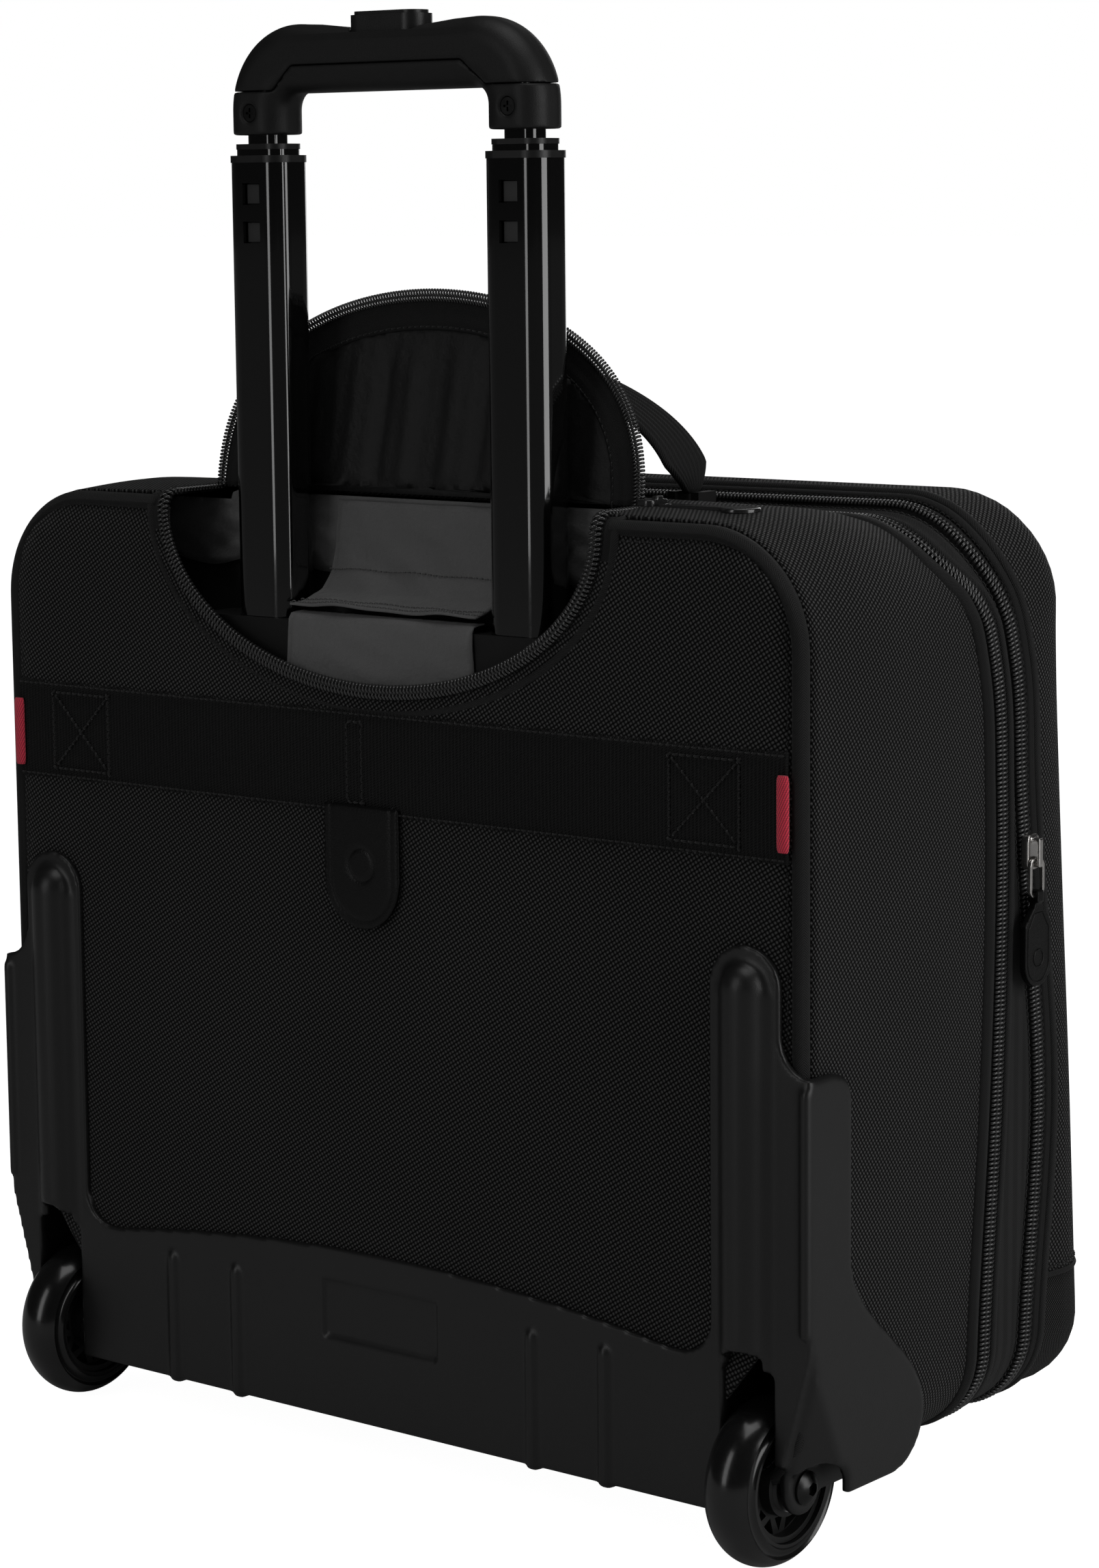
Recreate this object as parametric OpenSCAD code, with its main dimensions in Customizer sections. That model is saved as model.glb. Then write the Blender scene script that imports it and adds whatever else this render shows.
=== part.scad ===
// Rolling laptop case: a soft case on a moulded wheel base, with a three-stage
// telescopic handle. Millimetres. +Z is up and +Y is the back, where the handle and
// the wheels are. The origin is on the floor under the middle of the case.

/* [Case] */
// Width of the fabric case
case_w = 436; // [428:1:440]
// Height of the top of the case above the floor
case_top = 416; // [412:1:420]
// Height of the fabric bottom above the floor
case_floor = 31; // [30:0.5:32]
// Radius of the top corners
top_corner_r = 48; // [40:1:56]
// Radius of the bottom corners
low_corner_r = 34; // [28:1:38]
// Thickness of the padded fabric walls
wall = 2.5; // [1.5:0.5:3]
// Place of the back face along Y
back_y = 100; // [100:0.5:101]

/* [Handle] */
// Distance from the middle to each handle tube
post_x = 70; // [68:1:71]
// Place of the handle tubes along Y
post_y = 83; // [82.5:0.5:83]
// Top of the outer tubes above the floor, handle up
stage_1_top = 557.5; // [552:0.5:560]
// Height of the bottom of the grip, handle up
grip_low = 569; // [569:0.5:571]
// Travel of the release button
button_travel = 3; // [2:0.5:3]

/* [Wheels] */
// Radius of the wheels
wheel_r = 35; // [34:0.5:35]
// Width of the tyres
tyre_w = 22; // [20:1:23]
// Distance from the middle to each wheel
wheel_x = 193.5; // [193:0.5:194]
// Place of the wheel axles along Y
wheel_y = 88.7; // [88:0.1:89]
// Radius of the axle bolts
axle_r = 4; // [3:0.5:4]

/* [Top opening] */
// Half width of the opening over the handle
opening_half_w = 118; // [114:1:120]
// Lowest point of the opening in the back panel
opening_low = 340; // [338:1:344]
// Place of the flap's hinge line along Y
hinge_y = 65; // [63:1:66]
// Length of the flap from its hinge line
flap_len = 86; // [80:1:90]
// Lean of the open flap towards the front, in degrees
flap_lean = 6.7; // [5:0.1:8]

/* [Hidden] */
$fn = 64;
gap = 0.4;
fabric_black = "#232325";
hard_black = "#3a3a3c";
gloss_black = "#101012";
steel = "#b9bcc0";
lining_grey = "#6f7073";
leather_black = "#2b2a2a";

front_y = -(wheel_y + wheel_r);
pocket_t = 2.2;
face_y = front_y + pocket_t;
front_top_y = -100;
front_low_r = 36;
front_top_r = 34;

panel_t = 3.5;
panel_y = back_y - panel_t;
main_zip_y = -38;
front_zip_y = -59;
zip_w = 12;
coil_out = 1.5;

band_low = 287;
band_high = 331;
bumper_t = 3.6;
bumper_y = back_y + gap;
bumper_half_w = 224;
bumper_low = 22;
rail_x = 192;
rail_w = 34;
rail_top = 254;
shoulder_z = 204;
ridge_r = 11;
opening_x = [wheel_x - tyre_w / 2 - 1.7, wheel_x + tyre_w / 2 + 1.5];
leg_t = [7.4, 4.5];
boss_r = 11.5;
boss_y = [wheel_y - boss_r, wheel_y + boss_r];
cheek_z = [46, 96];
well_x = 173;
nut_well_x = 162;
nut_well_top = 62;
well_y = 46;
well_top = 97;

stage_1 = [30.6, 22.6, 8];
stage_2 = [26, 18, 6];
stage_3 = [16, 12, 4];
tube_t = 1.5;
stage_1_low = 245;
collar_1_t = 3;
neck_2 = 2.5;
collar_2_t = 2.3;
stage_2_top = stage_1_top + collar_1_t + neck_2;
stage_2_low = 256;
stage_3_low = 262;
latch_pitch = 16;
latch_z = 528.5;
bracket_low = 342;
bracket_top = 366;

grip_w = 28.5;
grip_d = 24;
grip_r = 10;
grip_bar_z = 600;
elbow_r = 21;
parting_low = 587;
parting_high = 597;
button = [38, 16, 7];
button_top = 618;
push_bar_z = 595;
push_bar_t = 5;
screw_z = 578;

hinge_z = case_top + 1.2;
carry_y = 20;
carry_x = 107;

front_slider_z = 272;
main_slider_z = 250;
bail_x = 4.8;
loop_w = 11;
loop_h = 17;
wire = 1.6;

// ---- placing helpers ----

// Flat shape drawn in X and Z, made solid between two places along Y.
module along_y(y0, y1) {
    translate([0, y1, 0]) rotate([90, 0, 0]) linear_extrude(y1 - y0) children();
}

// Flat shape drawn in Y and Z, made solid between two places along X.
module along_x(x0, x1) {
    translate([x0, 0, 0]) rotate([90, 0, 90]) linear_extrude(x1 - x0) children();
}

// One copy on each side of the middle, the second one mirrored.
module both_sides() {
    children();
    mirror([1, 0, 0]) children();
}

module at_posts() {
    for (side = [-1, 1])
        translate([side * post_x, post_y, 0]) children();
}

module rounded_rect(w, d, r) {
    square([w - 2 * r, d], center = true);
    square([w, d - 2 * r], center = true);
    for (sx = [-1, 1], sy = [-1, 1])
        translate([sx * (w / 2 - r), sy * (d / 2 - r)]) circle(r);
}

// Solid bar and open tube with a rounded section, between two heights.
module post(size, z0, z1, grow = 0) {
    translate([0, 0, z0]) linear_extrude(z1 - z0)
        rounded_rect(size[0] + 2 * grow, size[1] + 2 * grow, size[2] + grow);
}

module tube(size, z0, z1, t = tube_t) {
    difference() {
        post(size, z0, z1);
        post(size, z0 - 1, z1 + 1, -t);
    }
}

// ---- outlines of the case ----

// The case seen from the back, pulled in by "inset" all round.
module case_outline(inset = 0) {
    half = case_w / 2 - inset;
    low = case_floor + inset;
    high = case_top - inset;
    top_r = top_corner_r - inset;
    low_r = low_corner_r - inset;
    translate([-half, low + low_r]) square([2 * half, high - top_r - low - low_r]);
    translate([-half + top_r, high - 2 * top_r]) square([2 * (half - top_r), 2 * top_r]);
    translate([-half + low_r, low]) square([2 * (half - low_r), 2 * low_r]);
    for (side = [-1, 1]) {
        translate([side * (half - top_r), high - top_r]) circle(top_r);
        translate([side * (half - low_r), low + low_r]) circle(low_r);
    }
}

// The case seen from the side: a leaning front with two rounded corners. It runs past
// the top and the bottom of the case, which case_outline() cuts off.
module side_outline(inset = 0) {
    spare = 2;
    steps = 7;
    low_c = [face_y + front_low_r, case_floor + front_low_r];
    top_c = [front_top_y + front_top_r, case_top - front_top_r];
    low_r = front_low_r - inset;
    top_r = front_top_r - inset;
    span = top_c - low_c;
    turn = atan2(span[1], span[0]) + acos((low_r - top_r) / norm(span));
    polygon(concat(
        [[2 * back_y, low_c[1] - low_r - spare], [low_c[0], low_c[1] - low_r - spare]],
        [for (k = [0 : steps]) low_c + low_r * on_circle(270 + (turn - 270) * k / steps)],
        [for (k = [0 : steps]) top_c + top_r * on_circle(turn + (90 - turn) * k / steps)],
        [[top_c[0], top_c[1] + top_r + spare], [2 * back_y, top_c[1] + top_r + spare]]
    ));
}

function on_circle(angle) = [cos(angle), sin(angle)];

module ring(y0, y1, inset, t) {
    along_y(y0, y1) difference() {
        case_outline(inset);
        case_outline(inset + t);
    }
}

// Space of one wheel housing: tall over the wheel, low beside it for the axle nut.
module well_space(inset, x_end, y_end) {
    for (corner = [[nut_well_x, nut_well_top], [well_x, well_top]])
        translate([corner[0] + inset, well_y + inset, 0])
            cube([x_end - corner[0] - inset, y_end - well_y - inset, corner[1] - inset]);
}

// Room that the wheel housings take out of the soft case.
module wheel_wells() {
    both_sides() well_space(0, case_w, 2 * back_y);
}

// Half an ellipse hanging down from the top edge of the back panel.
module opening_outline(grow = 0) {
    depth = case_top - opening_low + grow;
    polygon([for (a = [0 : 5 : 180])
        [(opening_half_w + grow) * cos(a), case_top - depth * sin(a)]]);
    translate([-opening_half_w - grow, case_top - 0.01])
        square([2 * (opening_half_w + grow), 5]);
}

// ---- soft case ----

module back_panel() {
    color(fabric_black) difference() {
        along_y(panel_y, back_y) case_outline(4.6);
        along_y(panel_y - 1, back_y + 1) opening_outline();
        wheel_wells();
    }
}

module edge_piping() {
    color(fabric_black) difference() {
        ring(panel_y + 0.2, back_y, 0.4, 3.8);
        along_y(panel_y - 1, back_y + 1) opening_outline(0.2);
        wheel_wells();
    }
}

module rear_gusset() {
    color(fabric_black) difference() {
        ring(main_zip_y + zip_w / 2 + gap, panel_y - gap, 0, wall);
        translate([-opening_half_w, hinge_y, case_top - 10])
            cube([2 * opening_half_w, back_y, 20]);
        wheel_wells();
    }
}

// Zip all round the case: tape let into the wall, with the coil standing proud.
module zip_ring(y) {
    ring(y - zip_w / 2, y + zip_w / 2, 0.4, 1.6);
    ring(y - 2.5, y + 2.5, -coil_out, 2.2);
}

module main_zip() {
    color(gloss_black) zip_ring(main_zip_y);
}

module front_zip() {
    color(gloss_black) zip_ring(front_zip_y);
}

// Band between the two zips, with the wall that parts the two compartments.
module centre_panel() {
    y0 = front_zip_y + zip_w / 2 + gap;
    y1 = main_zip_y - zip_w / 2 - gap;
    color(fabric_black) {
        ring(y0, y1, 0, wall);
        along_y((y0 + y1) / 2 - 1, (y0 + y1) / 2 + 1) case_outline(1);
    }
}

module front_volume(inset, y1) {
    intersection() {
        along_y(front_y - 10, y1) case_outline(inset);
        along_x(-case_w, case_w) side_outline(inset);
    }
}

module front_shell() {
    y1 = front_zip_y - zip_w / 2 - gap;
    color(fabric_black) difference() {
        front_volume(0, y1);
        front_volume(wall, y1 + 1);
    }
}

// Outside pocket lying on the leaning front.
module front_pocket() {
    color(fabric_black) intersection() {
        difference() {
            along_x(-165, 165) side_outline(-pocket_t);
            along_x(-166, 166) side_outline(-0.2);
        }
        along_y(front_y - 10, front_y + 60)
            translate([0, 194]) rounded_rect(330, 252, 20);
    }
}

module pocket_zip() {
    color(gloss_black) intersection() {
        difference() {
            along_x(-150, 150) side_outline(-pocket_t);
            along_x(-151, 151) side_outline(-0.2);
        }
        along_y(front_y - 10, front_y + 60)
            translate([0, 328]) square([300, 12], center = true);
    }
}

// Stiff board behind the handle channels, which carries them.
module frame_board() {
    color(hard_black) along_y(64, 66) difference() {
        translate([0, 218]) rounded_rect(316, 350, 20);
        for (side = [-1, 1], z = [80, 300])
            translate([side * 100, z]) circle(3);
    }
}

module laptop_divider() {
    color(lining_grey) along_y(26, 30)
        translate([0, 200]) rounded_rect(420, 290, 25);
}

module base_board() {
    color(hard_black) translate([-158, -30, case_floor + wall + gap])
        cube([316, 88, 2]);
}

module trolley_lining() {
    color(lining_grey) along_y(67, 68) difference() {
        translate([0, 350]) rounded_rect(232, 120, 20);
        translate([-120, 405]) square([240, 10]);
    }
}

module lining_strap() {
    color(lining_grey) translate([-40, 69, bracket_top + gap]) cube([80, 24, 2]);
}

// Ribbed band across the back, stitched down at the ends and in the middle.
module webbing_band() {
    color(fabric_black) along_y(back_y + 0.2, back_y + 1.8)
        translate([-213, band_low]) square([426, band_high - band_low]);
}

module band_tags() {
    color("#c0304a") for (side = [-1, 1])
        translate([side * 210.3, back_y + 2.6, (band_low + band_high) / 2 - 2])
            cube([5, 1.2, 30], center = true);
}

module leather_tab() {
    color(leather_black) along_y(back_y + 0.2, back_y + 2.2) translate([6, 0]) {
        translate([-20, 258]) square([40, band_low - gap - 258]);
        translate([0, 259]) circle(20);
    }
}

// Coil zip round the mouth of the opening, over the back and along the top.
module opening_zip() {
    color(gloss_black) {
        along_y(back_y + 0.2, back_y + 2.6) difference() {
            opening_outline(6);
            opening_outline(0.4);
            translate([-200, case_top - 1]) square([400, 20]);
        }
        for (side = [-1, 1])
            translate([side * (opening_half_w + 3.2), (hinge_y + back_y) / 2, hinge_z + 0.2])
                cube([5.2, back_y - hinge_y - 2, 1.6], center = true);
    }
}

// ---- moulded wheel base ----

// Back face of the base: two rails joined by an arched kick plate.
module bumper_outline() {
    inner_x = rail_x - rail_w / 2;
    fillet_r = bumper_half_w - rail_x - rail_w / 2;
    plate_high = 98;
    arch_r = 1000;
    difference() {
        union() {
            translate([-bumper_half_w, bumper_low])
                square([2 * bumper_half_w, shoulder_z + fillet_r - bumper_low]);
            for (side = [-1, 1]) {
                translate([side * rail_x - rail_w / 2, shoulder_z])
                    square([rail_w, rail_top - rail_w / 2 - shoulder_z]);
                translate([side * rail_x, rail_top - rail_w / 2]) circle(rail_w / 2);
            }
        }
        difference() {
            translate([-inner_x, plate_high - 12]) square([2 * inner_x, rail_top]);
            translate([0, plate_high - arch_r]) circle(arch_r, $fn = 360);
            for (side = [-1, 1])
                translate([side * inner_x, plate_high - 12]) inner_corner(-side, 15);
        }
        for (side = [-1, 1]) {
            translate([side * bumper_half_w, shoulder_z + fillet_r]) circle(fillet_r);
            translate([side * (bumper_half_w + 10), shoulder_z + 30])
                square([20.2, 60], center = true);
        }
    }
}

// Little web that rounds an inside corner.
module inner_corner(side, r) {
    difference() {
        translate([side > 0 ? 0 : -r, 0]) square(r);
        translate([side * r, r]) circle(r);
    }
}

// Side guard seen from the side: narrow above, flaring forward over the wheel, and
// cut back behind to leave the axle boss free.
module guard_outline() {
    flare_z = [56, 127];
    flare_y = [23, 75];
    rear_y = bumper_y + bumper_t;
    steps = 8;
    polygon(concat(
        [[rear_y, cheek_z[1]], [boss_y[0], cheek_z[0]], [boss_y[0] - 6, case_floor + 1]],
        [for (k = [0 : steps]) let (a = 90 * k / steps)
            [flare_y[0] + 23 * (1 - sin(a)), flare_z[0] - 24 * cos(a)]],
        [for (k = [1 : steps]) let (f = k / steps) [
            flare_y[0] + (flare_y[1] - flare_y[0]) * (1 - cos(180 * f)) / 2,
            flare_z[0] + (flare_z[1] - flare_z[0]) * f
        ]],
        [for (k = [0 : steps]) let (a = 90 * k / steps)
            [flare_y[1] + 12 * (1 - cos(a)), shoulder_z - 12 + 12 * sin(a)]],
        [[rear_y, shoulder_z]]
    ));
}

// Box round one wheel, open to the back and below.
module wheel_housing() {
    t = 3;
    difference() {
        well_space(gap, opening_x[1] + leg_t[1], bumper_y + 1);
        well_space(gap + t, opening_x[1], back_y + 10);
        translate([0, 0, -1]) cube([case_w, 2 * back_y, case_floor + 1]);
        translate([opening_x[1] - 1, boss_y[0] + 2, 0]) cube([20, back_y, cheek_z[0]]);
    }
}

// Leg beside a wheel, ending in a round boss for the axle bolt.
module fork_leg(x0, x1) {
    along_x(x0, x1) {
        translate([wheel_y, wheel_r]) circle(boss_r);
        translate([boss_y[0], wheel_r])
            square([boss_y[1] - boss_y[0], well_top - wheel_r - 1]);
        translate([boss_y[1] - 1, cheek_z[0]])
            square([bumper_y + 2 - boss_y[1], well_top - cheek_z[0] - 1]);
    }
}

// Slanting wall that leads from the wide side guard in to the outer fork leg.
module cheek() {
    x0 = opening_x[1];
    rear_y = bumper_y + bumper_t;
    hull() {
        translate([x0, boss_y[0], cheek_z[0]]) cube([leg_t[1], rear_y - boss_y[0], 2]);
        translate([x0, boss_y[0] - 8, case_floor + 1])
            cube([bumper_half_w - x0, 8, cheek_z[0] - case_floor]);
        translate([x0, boss_y[0] - 8, cheek_z[1] - 2])
            cube([bumper_half_w - x0, rear_y - boss_y[0] + 8, 2]);
    }
}

module rail_ridge() {
    low = 60;
    high = rail_top - rail_w / 2;
    intersection() {
        union() {
            translate([rail_x, bumper_y + 1, low]) cylinder(h = high - low, r = ridge_r);
            translate([rail_x, bumper_y + 1, high]) sphere(ridge_r);
        }
        translate([0, bumper_y, 0]) cube([bumper_half_w, 50, rail_top]);
    }
}

module bumper_side() {
    rail_ridge();
    along_x(case_w / 2 + 2, bumper_half_w) guard_outline();
    wheel_housing();
    fork_leg(opening_x[0] - leg_t[0], opening_x[0]);
    fork_leg(opening_x[1], opening_x[1] + leg_t[1]);
    difference() {
        cheek();
        translate([opening_x[1] + leg_t[1], 0, 0])
            cube([case_w / 2 + 2 - opening_x[1] - leg_t[1], boss_y[0] + 4, rail_top]);
    }
}

module bumper_ribs() {
    for (side = [-1, 1], x = [83.4, 121.5]) {
        translate([side * x - 2, bumper_y, bumper_low]) cube([4, bumper_t + 2, 56]);
        translate([side * x, bumper_y, bumper_low + 56])
            rotate([-90, 0, 0]) cylinder(h = bumper_t + 2, r = 2);
        translate([side * x - 2, 62, bumper_low - 1.5]) cube([4, 42, 3]);
    }
}

// Arched mouth that the wheel stands in, and the space beside the outer leg.
module wheel_mouth() {
    mouth_r = (opening_x[1] - opening_x[0]) / 2;
    along_y(well_y + 4, back_y + 30) {
        translate([opening_x[0], -1]) square([2 * mouth_r, well_top - 16]);
        translate([opening_x[0] + mouth_r, well_top - 17]) circle(mouth_r);
    }
    along_y(back_y, back_y + 30) polygon([
        [opening_x[1] + leg_t[1], -1], [opening_x[1] + leg_t[1], cheek_z[0]],
        [bumper_half_w + 0.1, cheek_z[1]], [bumper_half_w + 5, cheek_z[1]],
        [bumper_half_w + 5, -1]
    ]);
    along_y(boss_y[1], back_y + 30) translate([opening_x[1], -1])
        square([leg_t[1] + 1, cheek_z[0] + 1]);
}

module rear_bumper() {
    flange_half_w = 180;
    label = [64, 0.8, 27];
    color(hard_black) difference() {
        union() {
            along_y(bumper_y, bumper_y + bumper_t) bumper_outline();
            translate([-flange_half_w, 60, bumper_low])
                cube([2 * flange_half_w, bumper_y - 59, 3]);
            both_sides() bumper_side();
            bumper_ribs();
        }
        both_sides() {
            wheel_mouth();
            translate([0, wheel_y, wheel_r]) rotate([0, 90, 0])
                cylinder(h = bumper_half_w + 10, r = axle_r + 0.1);
            translate([opening_x[1] + leg_t[1], wheel_y, wheel_r]) rotate([0, 90, 0])
                cylinder(h = 40, r = boss_r);
        }
        translate([-label[0] / 2, bumper_y + bumper_t - label[1], 57])
            cube([label[0], 5, label[2]]);
    }
}

module front_feet() {
    foot_h = case_floor - gap;
    color(hard_black) for (side = [-1, 1])
        translate([side * 105, -78, 0]) rotate_extrude() polygon([
            [0, 0], [10, 0], [11.5, 1.5], [14, foot_h - 3], [14, foot_h], [0, foot_h]
        ]);
}

// ---- telescopic handle ----

module handle_channels() {
    color(hard_black) at_posts() difference() {
        post(stage_1, 40, bracket_low - gap, 1.7);
        post(stage_1, 39, bracket_low, 0.2);
    }
}

module bracket(z0, z1, half_w, clearance) {
    difference() {
        translate([0, post_y, z0]) linear_extrude(z1 - z0)
            rounded_rect(2 * half_w, 26, 6);
        at_posts() post(stage_1, z0 - 1, z1 + 1, clearance);
    }
}

module top_bracket() {
    color(hard_black) bracket(bracket_low, bracket_top, 105, 0.3);
}

module bottom_bracket() {
    color(hard_black) translate([0, post_y, 34]) linear_extrude(5.6)
        rounded_rect(200, 26, 6);
}

module stage_1_tubes() {
    color(gloss_black) difference() {
        at_posts() tube(stage_1, stage_1_low, stage_1_top);
        at_posts() for (row = [0, 1])
            translate([-4.75, 0, latch_z - 4.5 + row * latch_pitch]) cube([9.5, 20, 9]);
    }
}

module stage_1_collars() {
    color(hard_black) at_posts() difference() {
        post(stage_1, stage_1_top + 0.05, stage_1_top + collar_1_t, 0.4);
        post(stage_2, stage_1_top - 1, stage_1_top + 5, 0.2);
    }
}

module stage_2_tubes() {
    color(gloss_black) difference() {
        at_posts() tube(stage_2, stage_2_low, stage_2_top);
        at_posts() for (row = [0, 1])
            translate([-4.5, 5, latch_z - 4.2 + row * latch_pitch]) cube([9, 20, 8.4]);
    }
}

module stage_2_collars() {
    color(hard_black) at_posts() difference() {
        post(stage_2, stage_2_top + 0.05, stage_2_top + collar_2_t, 0.3);
        post(stage_3, stage_2_top - 1, stage_2_top + 5, 0.2);
    }
}

// Sliding blocks that keep the middle tubes central in the outer ones.
module stage_2_glides() {
    color(hard_black) at_posts() difference() {
        post(stage_1, stage_2_low + 2, stage_2_low + 22, -tube_t - 0.2);
        post(stage_2, stage_2_low + 1, stage_2_low + 23, 0.05);
    }
}

// Spring-loaded blocks seen through the windows of the outer tubes.
module lock_blocks() {
    color(lining_grey) at_posts() for (row = [0, 1])
        translate([-4.2, 7.6, latch_z - 4 + row * latch_pitch]) cube([8.4, 1.3, 8]);
}

module stage_3_tubes() {
    color(gloss_black) difference() {
        at_posts() tube(stage_3, stage_3_low, 586, 1.2);
        at_posts() translate([0, 0, screw_z]) rotate([-90, 0, 0]) cylinder(h = 20, r = 1.7);
    }
}

module stage_3_glides() {
    color(hard_black) at_posts() difference() {
        post(stage_2, stage_3_low + 2, stage_3_low + 20, -tube_t - 0.2);
        post(stage_3, stage_3_low + 1, stage_3_low + 21, 0.05);
    }
}

// ---- grip ----

module grip_section() {
    rounded_rect(grip_w, grip_d, grip_r);
}

// Bar, two elbows and two legs of the grip.
module grip_solid() {
    bend_x = post_x - elbow_r;
    bend_z = grip_bar_z - elbow_r;
    translate([0, post_y, 0]) {
        for (side = [-1, 1]) {
            translate([side * post_x, 0, grip_low])
                linear_extrude(bend_z - grip_low) grip_section();
            translate([side * bend_x, 0, bend_z]) mirror([side > 0 ? 0 : 1, 0, 0])
                rotate([90, 0, 0]) rotate_extrude(angle = 90)
                    translate([elbow_r, 0]) grip_section();
        }
        translate([-bend_x, 0, grip_bar_z]) rotate([0, 90, 0])
            linear_extrude(2 * bend_x) grip_section();
    }
}

// Everything below the line where the two halves of the grip meet.
module below_parting(lift) {
    along_y(post_y - 20, post_y + 20) polygon([
        [-90, 560], [-90, parting_low + lift], [-58, parting_low + lift],
        [-46, parting_high + lift], [46, parting_high + lift],
        [58, parting_low + lift], [90, parting_low + lift], [90, 560]
    ]);
}

// Room inside the grip for the tubes, the push bar, the rods and the springs.
module grip_cavity() {
    cavity_low = 588.5;
    at_posts() post(stage_3, grip_low - 1, cavity_low, 0.1);
    translate([-73.5, post_y - 6, cavity_low]) cube([147, 12, 602 - cavity_low]);
    translate([0, post_y, push_bar_z + push_bar_t - button_travel - 0.5]) linear_extrude(40)
        rounded_rect(button[0] + 0.8, button[1] + 0.8, button[2] + 0.4);
    at_posts() translate([0, 0, screw_z]) rotate([-90, 0, 0]) {
        cylinder(h = 20, r = 1.7);
        translate([0, 0, grip_d / 2 - 3]) cylinder(h = 20, r = 3.8);
    }
}

module grip_upper() {
    color(hard_black) difference() {
        grip_solid();
        below_parting(0.15);
        grip_cavity();
    }
}

module grip_lower() {
    color(hard_black) difference() {
        intersection() {
            grip_solid();
            below_parting(-0.15);
        }
        grip_cavity();
    }
}

// Cross-recess screws that hold the grip on the inner tubes.
module grip_screws() {
    color(steel) at_posts() translate([0, 0, screw_z]) rotate([-90, 0, 0]) difference() {
        union() {
            translate([0, 0, 3.6]) cylinder(h = 5.5, r = 1.5);
            translate([0, 0, 9.05]) cylinder(h = 2, r = 3.5);
        }
        for (turn = [0, 90])
            rotate([0, 0, turn]) translate([0, 0, 11]) cube([4.2, 0.9, 1.6], center = true);
    }
}

module release_button() {
    color(hard_black) translate([0, post_y, push_bar_z + push_bar_t + 0.05]) {
        linear_extrude(button_top - 1.5 - push_bar_z - push_bar_t)
            rounded_rect(button[0], button[1], button[2]);
        linear_extrude(button_top - push_bar_z - push_bar_t - 0.05)
            rounded_rect(button[0] - 3, button[1] - 3, button[2] - 1.5);
    }
}

module push_bar() {
    color(hard_black) translate([-72.5, post_y - 5, push_bar_z])
        cube([145, 10, push_bar_t]);
}

module push_rods() {
    color(steel) at_posts() translate([0, 0, stage_3_low + 12])
        cylinder(h = push_bar_z - 0.05 - stage_3_low - 12, r = 2);
}

// Two small helical springs that push the bar back up.
module button_springs() {
    color(steel) for (side = [-1, 1])
        translate([side * 30, post_y, 588.8])
            linear_extrude(6, twist = 360 * 4, slices = 48, segments = 8)
                translate([2.4, 0]) circle(0.8, $fn = 8);
}

// ---- opening flap ----

// Places children in the plane of the open flap: X across, Z up from the hinge line.
module in_flap() {
    translate([0, hinge_y, hinge_z]) rotate([flap_lean, 0, 0]) children();
}

// Broad rounded lid shape, squarer than an ellipse.
module flap_outline(grow = 0) {
    square_off = 2 / 2.7;
    polygon([for (a = [0 : 5 : 180]) [
        (opening_half_w - 8 + grow) * sign(cos(a)) * pow(abs(cos(a)), square_off),
        (flap_len - 6 + grow) * pow(sin(a), square_off)
    ]]);
}

module flap() {
    color(fabric_black) in_flap() along_y(-1.5, 1.5) difference() {
        flap_outline();
        translate([-200, -10]) square([400, 11]);
    }
}

module flap_lining() {
    color(fabric_black) in_flap() along_y(1.7, 2.7) difference() {
        flap_outline(-3);
        translate([-200, -10]) square([400, 12]);
    }
}

module flap_zip() {
    color(gloss_black) in_flap() along_y(-1, 1) difference() {
        flap_outline(6);
        flap_outline(0.4);
        translate([-200, -10]) square([400, 11.4]);
    }
}

module flap_slider() {
    color(gloss_black) translate([-opening_half_w - 3, hinge_y + 3, hinge_z + 1.4]) {
        linear_extrude(3.6) rounded_rect(9, 13, 3);
        translate([-3, 0, 3.5]) cube([3, 4, 3], center = true);
    }
}

// Long puller lying on the top of the case, with a round end.
module flap_puller() {
    reach = 38;
    color(gloss_black) translate([-opening_half_w - 9, hinge_y + 3, hinge_z + 1])
        linear_extrude(2.4) difference() {
            union() {
                translate([-reach, -4]) square([reach, 8]);
                translate([-reach, 0]) circle(8);
            }
            translate([-6, -1.6]) square([4, 3.2]);
        }
}

// ---- carry handle ----

// Webbing strap standing as an arch, with narrow ends at the pivots.
module carry_handle() {
    arch = function(k, t) [
        (carry_x - k) * cos(t), 24 + (34 - k) * pow(abs(sin(t)), 0.8)
    ];
    color(fabric_black) translate([0, carry_y, hinge_z + 2.6]) {
        along_y(-14, 14) polygon(concat(
            [for (t = [0 : 6 : 180]) arch(0, t)],
            [for (t = [180 : -6 : 0]) arch(4, t)]
        ));
        for (side = [-1, 1])
            translate([side * (carry_x - 2) - 2, -3, 0]) cube([4, 6, 25]);
    }
}

module handle_anchors() {
    color(hard_black) for (side = [-1, 1], step = [-1, 1])
        translate([side * (carry_x - 2) + step * 6, carry_y, hinge_z + 2])
            cube([4, 12, 5], center = true);
}

// ---- sliders and pullers of the two long zips ----

// Slider body on a coil, drawn flat on the X = 0 plane and standing out along +X,
// with a bail whose hole runs along Y.
module zip_slider() {
    rotate([0, 90, 0]) linear_extrude(3.6) rounded_rect(15, 9, 3);
    translate([5.4, 0, 0]) difference() {
        cube([3.8, 3, 12], center = true);
        translate([bail_x - 5.4, 0, 0]) cube([2.4, 4, 9], center = true);
    }
}

// Flat loop whose top bar, at the origin, sits in a slider's bail.
module pull_loop() {
    translate([0, -loop_w / 2, 0.85 - loop_h]) rotate([90, 0, 90])
        translate([loop_w / 2, loop_h / 2]) linear_extrude(wire, center = true)
            difference() {
                rounded_rect(loop_w, loop_h, 4);
                rounded_rect(loop_w - 2 * wire, loop_h - 2 * wire, 1.5);
            }
}

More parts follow.
